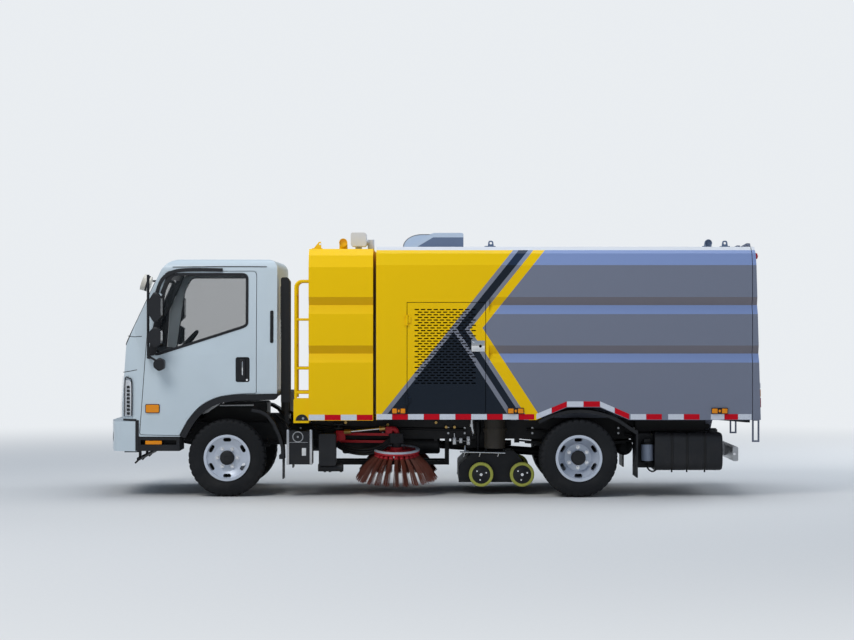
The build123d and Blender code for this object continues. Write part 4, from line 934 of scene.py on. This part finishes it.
def make_brush_gear():
    """Cylinder with brassy ends, hoses and the ring on each brush plate, pale with a painted
    chrome reflection.
    """
    ring = Shape().lathe(((0.0005, 0.192), (0.012, 0.193), (0.014, 0.214), (0.008, 0.222),
                          (-0.004, 0.2225), (-0.004, 0.215)), (0, 0, 0), "Z", 64, closed=True,
                         matrix=brush_frame)
    rods = Shape().bar((-0.835, -0.566, 0.606), (-0.500, -0.636, 0.641), 0.011)
    ends = Shape().bar((-0.868, -0.560, 0.603), (-0.805, -0.573, 0.609), 0.025, 24)
    ends.bar((-0.525, -0.630, 0.638), (-0.468, -0.642, 0.644), 0.025, 24)
    red = Shape().box((-0.952, -0.578, 0.520), (-0.860, -0.536, 0.618), 0.008)
    red.box((-0.470, -0.668, 0.590), (-0.400, -0.612, 0.662), 0.010)
    red.tube([(-0.42, -0.64, 0.64), (-0.375, -0.64, 0.63), (-0.355, -0.63, 0.585)], 0.026, 16)
    hoses = Shape()
    for shift in (0.0, 0.024, 0.048):
        hoses.tube([(-0.93, -0.545 - shift / 2, 0.505 - shift), (-0.82, -0.60, 0.455 - shift),
                    (-0.66, -0.655, 0.440 - shift), (-0.52, -0.665, 0.475 - shift),
                    (-0.44, -0.66, 0.535 - shift), (-0.395, -0.645, 0.548 - shift / 2)],
                   0.0115)
    ring.both("BrushRing_{}", "ring_paint", "brush_{}")
    for shape, label, material in ((rods, "BrushRod", "chrome"), (ends, "BrushRodEnds", "brass"),
                                   (red, "BrushBrackets", "red_paint"),
                                   (hoses, "BrushHoses", "hose")):
        shape.both(label + "_{}", material, "brush_arm_{}")


# Cab details

def make_cab_sides():
    """Window seals, rain visors, handles, repeaters, vents and reflectors."""
    window = rounded([(-2.672, 1.353), (-2.577, 1.985), (-2.500, 2.127), (-1.787, 2.127),
                      (-1.787, 1.645), (-1.826, 1.624)], 0.05)
    visor = [(-2.655, 1.93), (-2.612, 2.055), (-2.548, 2.125), (-2.44, 2.163), (-2.25, 2.171),
             (-2.022, 2.168)]
    handle = Shape().box((-1.893, -0.927, 1.098), (-1.761, -0.9255, 1.335))
    handle.box((-1.855, -0.944, 1.115), (-1.800, -0.927, 1.318), 0.006)
    pull = Shape().box((-1.8335, -0.9475, 1.165), (-1.8235, -0.943, 1.290), 0.002)
    pull.lathe(((-0.9385, 0.010), (-0.9265, 0.011)), (-1.786, 0, 1.118), "Y", 20)
    mirror_base = Shape().patch(
        rounded([(-2.728, 1.352), (-2.690, 1.600), (-2.622, 1.900), (-2.592, 1.940),
                 (-2.668, 1.352)], 0.012), 0.006)
    mirror_base.patch(
        rounded([(-2.618, 1.95), (-2.560, 2.105), (-2.490, 2.156), (-2.470, 2.125),
                 (-2.560, 2.030), (-2.590, 1.93)], 0.012), 0.006)
    vent = Shape().patch(rect((-1.566, 1.471), (-1.534, 1.781), 0.014), 0.005)
    for row in range(14):
        z = 1.485 + 0.0205 * row
        vent.box((-1.562, skin_y(-1.55, z) - 0.009, z), (-1.538, skin_y(-1.55, z), z + 0.007))
    for line, width, lift in (
            ([(-1.60, 2.200), (-2.0, 2.202), (-2.50, 2.197)], 0.007, 0.0015),
            ([(-2.985, 1.189), (-2.93, 1.197), (-2.835, 1.215)], 0.006, 0.0015),
            ([(-2.93, 1.538), (-2.87, 1.530), (-2.79, 1.535)], 0.006, 0.0015),
            ([(-2.984, 0.735), (-2.93, 0.735), (-2.842, 0.735)], 0.020, 0.0025)):
        vent.strip(line, width, lift)
    for label, material, body, shape in (
            ("WindowSeal", "black_plastic", "door_{}",
             Shape().strip(window, 0.026, 0.004, 0.012, closed=True)),
            ("RainVisor", "black_plastic", "door_{}",
             Shape().strip(visor, 0.034, 0.016, 0.002)),
            ("HandleRecess", "black_plastic", "door_{}", handle),
            ("HandlePull", "chrome", "door_{}", pull),
            ("Repeater", "orange_lens", "door_{}",
             Shape().patch(rect((-2.748, 0.809), (-2.624, 0.882), 0.012), 0.016)),
            ("RepeaterBase", "black_plastic", "door_{}",
             Shape().patch(rect((-2.755, 0.803), (-2.617, 0.888), 0.014), 0.005)),
            ("MirrorBase", "black_plastic", "door_{}", mirror_base),
            ("CabVent", "black_plastic", "cab", vent),
            ("SillReflector", "orange_lens", "cab",
             Shape().box((-2.755, -0.942, 0.503), (-2.598, -0.934, 0.538), 0.003)),
            ("BumperFiller", "black_plastic", "cab",
             Shape().sheet(rect((-2.850, 0.442), (-2.818, 0.733)), "Y", -0.9425, -0.9330))):
        shape.both(label + "_{}", material, body)


def make_headlamp_details():
    """Lamp bars and frames behind the corner lenses."""
    bezel = rounded([(-2.972, 0.775), (-2.975, 1.115), (-2.915, 1.120), (-2.890, 1.085),
                     (-2.890, 0.775)], 0.02)
    Shape().patch(bezel, 0.0175, -0.001).both("LampBezel_{}", "white_lens", "cab")
    bars = Shape()
    for row in range(8):
        z = 0.785 + 0.036 * row
        bars.patch(rect((-2.940, z), (-2.908, z + 0.024)), 0.021, -0.015)
    bars.both("LampBars_{}", "black_plastic", "cab")
    Shape().strip([(-2.968, 0.768), (-2.960, 1.112), (-2.912, 1.132), (-2.888, 1.090),
                   (-2.888, 0.775)], 0.010, 0.022, -0.015).both(
        "LampFrame_{}", "black_plastic", "cab")


def make_mirrors():
    """Faces at the rear of the mirror heads, and the far front mirror's pale shell."""
    faces = Shape()
    for z0, z1, low, high in ((1.735, 1.895, 0.062, 0.092), (1.470, 1.590, 0.058, 0.086)):
        faces.sheet(rect((-1.060 - high, z0), (-1.060 + low, z1), 0.03), "X", -2.590, -2.5835)
    faces.both("MirrorFaces_{}", "mirror", "door_{}")
    inner = Shape()
    for z0, z1, y in ((1.672, 1.930, 0.9835), (1.440, 1.615, 0.9885)):
        inner.sheet(rect((-2.672, z0), (-2.600, z1), 0.03), "Y", y, y + 0.006)
    inner.done("MirrorFacesTowardsDriver", "mirror", "door_right")
    shell = Shape().bar((-3.009, 0.91, 2.0814), (-2.930, 0.91, 2.055), 0.0850, 40, 0.080)
    shell.bar((-2.930, 0.91, 2.055), (-2.918, 0.91, 2.051), 0.080, 40, 0.050)
    shell.done("FrontMirrorShell", "mirror_shell", "door_right")


def front_x(z):
    """Front face of the cab's nose at a height, at the middle of its width."""
    stations = ((0.578, -2.985), (0.857, -2.997), (1.163, -2.972), (1.446, -2.948),
                (2.27, -2.565))
    for (z0, x0), (z1, x1) in zip(stations, stations[1:]):
        if z <= z1:
            return x0 + (x1 - x0) * (z - z0) / (z1 - z0)
    return stations[-1][1]


def make_cab_front():
    """Windscreen seal, wipers, grille mesh, fog lamps and the blank plate."""
    border = [(front_x(z) - 0.006, y, z) for y, z in rounded(
        [(-0.79, 1.452), (0.79, 1.452), (0.735, 2.075), (-0.735, 2.075)], 0.07)]
    Shape().tube(border + [border[0]], 0.016, 8, 1).done("WindscreenSeal", "black_plastic",
                                                         "cab")
    wipers = Shape()
    pivot_z, tip_z = 1.42, 1.53
    low_z, high_z = 1.475, 1.56     # the blade's ends
    for pivot_y, tip_y in ((-0.42, 0.22), (0.30, 0.78)):
        base = (front_x(pivot_z) - 0.012, pivot_y, pivot_z)
        tip = (front_x(tip_z) - 0.016, tip_y, tip_z)
        wipers.bar((front_x(pivot_z) + 0.004, pivot_y, pivot_z), base, 0.016)
        wipers.tube([base, tuple((a + b) / 2 for a, b in zip(base, tip)), tip], 0.006, 8, 4)
        wipers.bar((front_x(low_z) - 0.006, tip_y - 0.34, low_z),
                   (front_x(high_z) - 0.008, tip_y + 0.05, high_z), 0.007, 8)
    wipers.done("Wipers", "black_plastic", "cab")
    Shape().box((-2.998, -0.56, 0.795), (-2.985, 0.56, 1.045), 0.004).done(
        "GrilleBack", "black_plastic", "cab")
    Shape().box((-3.116, -0.22, 0.632), (-3.107, 0.22, 0.694), 0.003).done(
        "FrontPlate", "label", "cab")
    fog = Shape()
    rings = Shape()
    for place in ((0, -0.62, 0.565), (0, 0.62, 0.565)):
        fog.lathe(((-3.100, 0.038), (-3.088, 0.046), (-3.060, 0.046)), place, "X", 28)
        rings.lathe(((-3.092, 0.047), (-3.098, 0.060), (-3.055, 0.064)), place, "X", 28)
    fog.done("FogLamps", "white_lens", "cab")
    rings.done("FogLampRings", "black_plastic", "cab")


def soft_pad(size, crown, channels):
    """Crowned pad with pulled-in sides; channels are sewn lines across its face."""
    wide, long, thick = size
    part = bmesh.new()
    bmesh.ops.create_cube(part, size=2.0)
    bmesh.ops.subdivide_edges(part, edges=part.edges[:], cuts=28, use_grid_fill=True)
    for vert in part.verts:
        u, v, w = vert.co
        ball = Vector((u * math.sqrt(1 - v * v / 2 - w * w / 2 + v * v * w * w / 3),
                       v * math.sqrt(1 - w * w / 2 - u * u / 2 + w * w * u * u / 3),
                       w * math.sqrt(1 - u * u / 2 - v * v / 2 + u * u * v * v / 3)))
        soft = Vector((u, v, w)).lerp(ball, 0.30)
        waist = 1 - 0.035 * (1 - w * w) * (1 - abs(u) ** 6)
        rise = crown * (1 - abs(u) ** 3) * (1 - abs(v) ** 3)
        sewn = 0.0
        for line in channels:
            sewn += 0.010 * math.exp(-((v - line) / 0.035) ** 2) * (1 - abs(u) ** 8)
        top = max(0.0, w)
        vert.co = (soft.x * wide / 2 * waist, soft.y * long / 2 * waist,
                   soft.z * thick / 2 + top * (rise - sewn))
    return part


def make_seats():
    """Seat cushion and back rest with sewn channels, on each side."""
    quarter = Matrix.Rotation(math.pi / 2, 4, "Z")
    lean = Matrix.Rotation(math.radians(-77.5), 4, "Y")
    for name, y in (("left", -0.470), ("right", 0.470)):
        shape = Shape().add(soft_pad((0.455, 0.500, 0.125), 0.012, (-0.45, 0.0, 0.45)),
                            Matrix.Translation((-2.065, y, 1.137)) @ quarter)
        shape.add(soft_pad((0.440, 0.640, 0.110), 0.010, (-0.55, -0.15, 0.25, 0.62)),
                  Matrix.Translation((-1.725, y, 1.425)) @ lean @ quarter)
        piece = shape.done("Cushions_" + name, "seat_fabric", "cab", 60, "seat_fabric")
        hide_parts("seat_" + name)


# Tank box, battery box and the machinery below

def make_side_boxes():
    """Fittings on the battery box, fuel tank, filter, underrun bar and tank box."""
    posts = Shape()
    for x in (-1.405, -1.185):
        posts.box((x - 0.002, -0.941, 0.309), (x + 0.022, -0.925, 0.643), 0.003)
    posts.done("BatteryBoxPosts", "aluminium", "chassis")
    plate_y, ring_x, ring_z = -0.931, -1.300, 0.575
    front = plate_y - 0.005
    ring = Shape().lathe(((plate_y, 0.052), (front, 0.052), (front, 0.044), (plate_y, 0.044)),
                         (ring_x, 0, ring_z), "Y", 36, closed=True)
    ring.bar((ring_x, plate_y, ring_z), (ring_x, plate_y - 0.011, ring_z), 0.009)
    ring.box((-1.385, -0.934, 0.520), (-1.205, -0.930, 0.524))
    ring.done("BatteryBoxRing", "steel", "chassis")
    Shape().box((-1.262, -0.9315, 0.395), (-1.222, -0.9298, 0.468), 0.0006).done(
        "BlankLabel", "label", "chassis")
    straps = Shape()
    for x in (2.271, 2.414, 2.584):
        straps.sheet(rect((-0.947, 0.256), (-0.505, 0.610), 0.085), "X", x - 0.009, x + 0.009)
        straps.bar((x, -0.90, 0.262), (x, -0.90, 0.236), 0.008, 8)
    straps.done("FuelTankStraps", "hose", "chassis")
    cap_x, cap_y, cap_z = 2.675, -0.80, 0.640
    cap = Shape().bar((cap_x, cap_y, cap_z - 0.028), (cap_x, cap_y, cap_z), 0.045, 32)
    cap.bar((cap_x, cap_y, cap_z), (cap_x, cap_y, cap_z + 0.012), 0.038, 32, 0.034)
    cap.done("FuelCap", "black_plastic", "chassis")
    filter_x, filter_y = 2.046, -0.80
    ends = Shape()
    for z in (0.326, 0.497):
        ends.bar((filter_x, filter_y, z), (filter_x, filter_y, z + 0.014), 0.0625, 40)
    ends.tube([(filter_x, filter_y, 0.335), (2.05, -0.81, 0.27), (2.10, -0.79, 0.235),
               (2.16, -0.74, 0.27)], 0.008)
    ends.done("FilterEnds", "hose", "chassis")
    Shape().bar((2.86, -0.984, 0.415), (2.86, -0.978, 0.415), 0.012).done(
        "BarBolts", "chrome", "chassis")
    port_x, port_z = -1.258, 0.7323
    Shape().sheet([(port_x + across, port_z + up) for angle, across, up in around(40, 0.060)
                   if angle < 3.15], "Y", -1.0025, -0.999).done(
        "TankPort", "black_plastic", "chassis")
    nipple_x, nipple_z = port_x + 0.012, port_z + 0.022
    Shape().bar((nipple_x, -1.002, nipple_z), (nipple_x, -1.012, nipple_z), 0.011).done(
        "TankPortNipple", "steel", "chassis")
    Shape().bar((-2.075, -0.60, 0.862), (-1.745, -0.60, 0.866), 0.011).done(
        "CabFloorPipe", "aluminium", "cab")


def make_nozzle_gear():
    """Caster hubs with bolts, linkage rods and the nozzle's edges."""
    wheel_face, rod_y = 0.678, -0.612
    for axle, x in caster_x.items():
        hubs = Shape()
        bolts = Shape()
        for side in (-1, 1):
            face = side * wheel_face
            hubs.lathe([(face + side * out, radius) for out, radius in
                        ((0, 0.086), (0.004, 0.084), (0.004, 0.060), (0.010, 0.050),
                         (0.010, 0.020))], (x, 0, caster_z), "Y", 40)
            bolts.lathe(((face + side * 0.009, 0.016), (face + side * 0.0185, 0.015)),
                        (x, 0, caster_z), "Y", 6)
            for angle, across, up in around(3, 0.052, 20):
                bolts.lathe(((face, 0.0085), (face + side * 0.012, 0.008)),
                            (x + across, 0, caster_z + up), "Y", 6)
        hubs.done("CasterHubs_" + axle, "black_plastic", "nozzle_wheels_" + axle)
        bolts.done("CasterBolts_" + axle, "chrome", "nozzle_wheels_" + axle)
    rods = Shape().bar((0.250, rod_y, 0.412), (0.690, rod_y, 0.402), 0.008)
    for x in (0.30, 0.45, 0.63):
        rods.bar((x, rod_y, 0.408), (x - 0.012, -0.600, 0.366), 0.006)
    rods.bar((0.300, -0.600, 0.404), (0.300, -0.580, 0.470), 0.010)
    rods.both("NozzleRods_{}", "chrome", "nozzle")
    Shape().box((0.238, -0.596, 0.118), (0.872, -0.586, 0.134), 0.002).both(
        "NozzleSkirt_{}", "hose", "nozzle")


def make_frame_details():
    """Pipes, hoses and bolts along the rails."""
    pipe_x, pipe_y = 0.365, -0.60
    pipes = Shape().tube([(pipe_x, pipe_y, 0.730), (0.368, pipe_y, 0.66),
                          (0.380, -0.595, 0.60), (0.385, -0.56, 0.575)], 0.014)
    pipes.bar((pipe_x, pipe_y, 0.655), (pipe_x, pipe_y, 0.685), 0.021)
    pipes.done("WaterPipe", "aluminium", "chassis")
    hoses = Shape()
    for line in (
            [(-1.50, -0.50, 0.80), (-1.36, -0.52, 0.70), (-1.15, -0.47, 0.66),
             (-0.9, -0.44, 0.64), (-0.3, -0.435, 0.63), (0.3, -0.44, 0.62)],
            [(-1.48, -0.46, 0.84), (-1.30, -0.50, 0.74), (-1.12, -0.56, 0.63),
             (-1.05, -0.66, 0.605)],
            [(-1.52, -0.62, 0.76), (-1.44, -0.70, 0.70), (-1.40, -0.74, 0.64)],
            [(0.9, -0.45, 0.62), (1.1, -0.44, 0.60), (1.25, -0.42, 0.52), (1.34, -0.30, 0.46)],
            [(1.86, -0.45, 0.58), (2.0, -0.47, 0.55), (2.12, -0.50, 0.50)]):
        hoses.tube(line, 0.013)
    hoses.done("ChassisHoses", "hose", "chassis")
    bolts = Shape()
    for side in (-1, 1):
        for x in (-2.70, -2.45, -1.30, -0.50, 0.14, 0.30, 0.96, 1.80, 1.95, 2.54):
            for z in (0.585, 0.635):
                bolts.bar((x, side * (rail_half - 0.0005), z), (x, side * (rail_half + 0.009), z),
                          0.011, 6)
    bolts.done("RailBolts", "steel", "chassis")
    fittings = Shape()
    for x, z in ((-0.86, 0.690), (-0.45, 0.668), (0.12, 0.645), (0.20, 0.645), (0.02, 0.69)):
        fittings.bar((x, -rail_half, z), (x, -rail_half - 0.045, z), 0.014, 6)
    fittings.done("HoseFittings", "brass", "chassis")
    valves = Shape()
    face_y = -rail_half - 0.027
    for x, z, tall in ((0.20, 0.475, 0.07), (0.262, 0.49, 0.05), (0.335, 0.47, 0.085)):
        port_z = z + tall * 0.6
        valves.box((x - 0.016, face_y, z), (x + 0.016, face_y + 0.028, z + tall), 0.003)
        valves.bar((x, face_y, port_z), (x, face_y - 0.024, port_z), 0.011, 6)
    valves.bar((0.20, -0.440, 0.545), (0.20, -0.440, 0.585), 0.007, 10)
    valves.bar((0.18, face_y, 0.513), (0.36, face_y, 0.509), 0.006, 10)
    valves.done("WaterValves", "aluminium", "chassis")


def make_rear_reservoir():
    """Air reservoir across the frame behind the rear axle."""
    middle = (1.868, 0, 0.447)
    tank = Shape().lathe(((-0.300, 0.030), (-0.292, 0.066), (-0.272, 0.086), (0.272, 0.086),
                          (0.292, 0.066), (0.300, 0.030)), middle, "Y", 40)
    for y in (-0.17, 0.17):
        tank.lathe(((y - 0.012, 0.089), (y + 0.012, 0.089)), middle, "Y", 40)
    tank.done("RearReservoir", "chassis_paint", "chassis")


# Tipping body details

def make_floor_edge():
    """Dark edge below the body floor at the rear."""
    edges = Shape()
    for low, high in ((-0.930, -0.922), (0.922, 0.930)):
        edges.sheet([(2.640, 0.742), (3.015, 0.742), (3.015, 0.712), (2.985, 0.712)], "Y",
                    low, high)
    edges.done("FloorEdge", "chassis_paint", "tipping_body")


def make_hood_shell():
    """Curved front plate of the outlet hood with its closed ends."""
    outer = []
    inner = []
    for step in range(11):
        angle = math.radians(9 * step)
        for line, wide, tall in ((outer, 0.185, 0.124), (inner, 0.179, 0.118)):
            line.append((-0.115 - wide * math.cos(angle), 2.398 + tall * math.sin(angle)))
    outer.append((-0.022, 2.522))
    inner.append((-0.030, 2.516))
    shell = Shape().sheet(outer + inner[::-1], "Y", -0.555, 0.355)
    for y in (-0.555, 0.350):
        shell.sheet(outer + [(-0.240, 2.398)], "Y", y, y + 0.005)
    shell.done("HoodFront", "hood_shell", "tipping_body")


def make_fan_room_lining():
    """Ribbed sound lining inside the fan room's right wall."""
    lining = Shape().sheet(rect((-0.34, 0.95), (0.50, 1.93), 0.04), "Y", 0.760, 0.768)
    for step in range(9):
        z = 1.02 + 0.105 * step
        lining.bar((-0.32, 0.758, z), (0.48, 0.758, z), 0.012, 8)
    for x in (-0.34, 0.49):
        for z in (1.0, 1.85):
            lining.bar((x, 0.764, z), (x, 0.900, z), 0.012, 8)
    lining.done("FanRoomLining", "lining", "tipping_body")


def gate_x(z):
    """Outer face of the leaning tailgate at a height."""
    return gate_low_x - gate_fall * (z - body_low)


def gate_slab(shape, y, z, back, depth):
    """Flat piece on the tailgate, parallel to its leaning face."""
    outline = [(gate_x(z[0]) - back, z[0]), (gate_x(z[0]) - back + depth, z[0]),
               (gate_x(z[1]) - back + depth, z[1]), (gate_x(z[1]) - back, z[1])]
    shape.sheet(outline, "Y", *sorted(y))


def make_rear_details():
    """Lamps, blank plate and reflective tape on the tailgate."""
    lamps = {"red_lens": Shape(), "orange_lens": Shape(), "white_lens": Shape()}
    for side in (-1, 1):
        for z0, z1, colour in ((0.86, 0.95, "red_lens"), (0.96, 1.03, "orange_lens"),
                               (1.04, 1.09, "white_lens")):
            gate_slab(lamps[colour], (side * 0.985, side * 0.935), (z0, z1), 0.002, 0.013)
        lamps["red_lens"].lathe(((0.0, 0.031), (0.022, 0.028), (0.030, 0.014)),
                                (gate_x(2.30) - 0.002, side * 0.93, 2.30), "X", 24)
    for colour, shape in lamps.items():
        shape.done("RearLamps_" + colour, colour, "tailgate")
    plate = Shape()
    gate_slab(plate, (-0.26, 0.26), (0.98, 1.12), 0.0215, 0.005)
    plate.done("RearPlate", "label", "tailgate")
    tape = {colour: Shape() for colour in tape_colours}
    for index in range(12):
        y = -0.90 + 0.15 * index
        gate_slab(tape[tape_colours[index % 2]], (y + 0.001, y + 0.149), (0.752, 0.802),
                  0.0005, 0.0015)
    for colour, shape in tape.items():
        shape.done("RearTape_" + colour, colour, "tailgate", 0)


for make in (make_cab_sides, make_headlamp_details, make_mirrors, make_cab_front,
             make_side_boxes, make_brush_gear, make_nozzle_gear, make_frame_details,
             make_rear_details, make_hood_shell, make_fan_room_lining, make_rear_reservoir,
             make_floor_edge, make_tyres, make_wheel_trim, make_tape, make_markers,
             make_fan_room_doors, make_brushes, make_seats):
    make()


# Floor, light and camera

def make_stage():
    floor_mesh = bpy.data.meshes.new("Floor")
    far = 900.0
    floor_mesh.from_pydata([(x, y, 0) for x, y in rect((-far, -far), (far, far))],
                           [], [(0, 1, 2, 3)])
    floor_mesh.materials.append(MAT["floor"])
    floor = placed("Floor", floor_mesh)

    world = bpy.data.worlds.new("World")
    world.use_nodes = True
    bpy.context.scene.world = world
    tree = world.node_tree
    background = tree.nodes["Background"]
    path = added(tree, "LightPath").outputs
    seen = maths(tree, "MAXIMUM", path["Is Camera Ray"], path["Is Transmission Ray"])
    direction = added(tree, "TexCoord").outputs["Generated"]
    rise = ramp(tree, axis_value(tree, direction, "Z"), 0.0, 0.5)
    sky = mixed(tree, rise, (0.86, 0.90, 0.94), (0.62, 0.78, 1.0))
    fill = 0.42
    wire(tree, background, {"Color": mixed(tree, seen, sky, backdrop),
                            "Strength": maths(tree, "MULTIPLY_ADD", seen, 1 - fill, fill)})

    def area(name, place, size, power, colour):
        light = bpy.data.lights.new(name, "AREA")
        light.shape = "DISK"
        light.size = size
        light.energy = power
        light.color = colour
        lamp_object = placed(name, light)
        lamp_object.location = place
        aim = Vector((0, 0, 1)) - Vector(place)
        lamp_object.rotation_euler = aim.to_track_quat("-Z", "Y").to_euler()

    area("KeyLight", (-6, -9, 11), 7.0, 820, (1.0, 0.98, 0.95))
    area("TopLight", (2, 1, 12), 9.0, 580, (0.95, 0.98, 1.0))
    area("RearLight", (9, 7, 6), 6.0, 380, (0.95, 0.98, 1.0))


def make_camera():
    camera = bpy.data.cameras.new("Camera")
    camera.sensor_width = 36.0
    focal_pixels = pixels_per_metre * camera_distance
    camera.lens = focal_pixels / image_width * camera.sensor_width
    camera.shift_y = (horizon_row - image_height / 2) / image_width
    camera.clip_end = 3000
    rig = placed("Camera", camera)
    rig.location = (camera_x, near_side_y - camera_distance, camera_z)
    rig.rotation_euler = (math.pi / 2, 0, 0)
    bpy.context.scene.camera = rig


make_stage()
make_camera()
bpy.context.scene.view_settings.view_transform = "Standard"
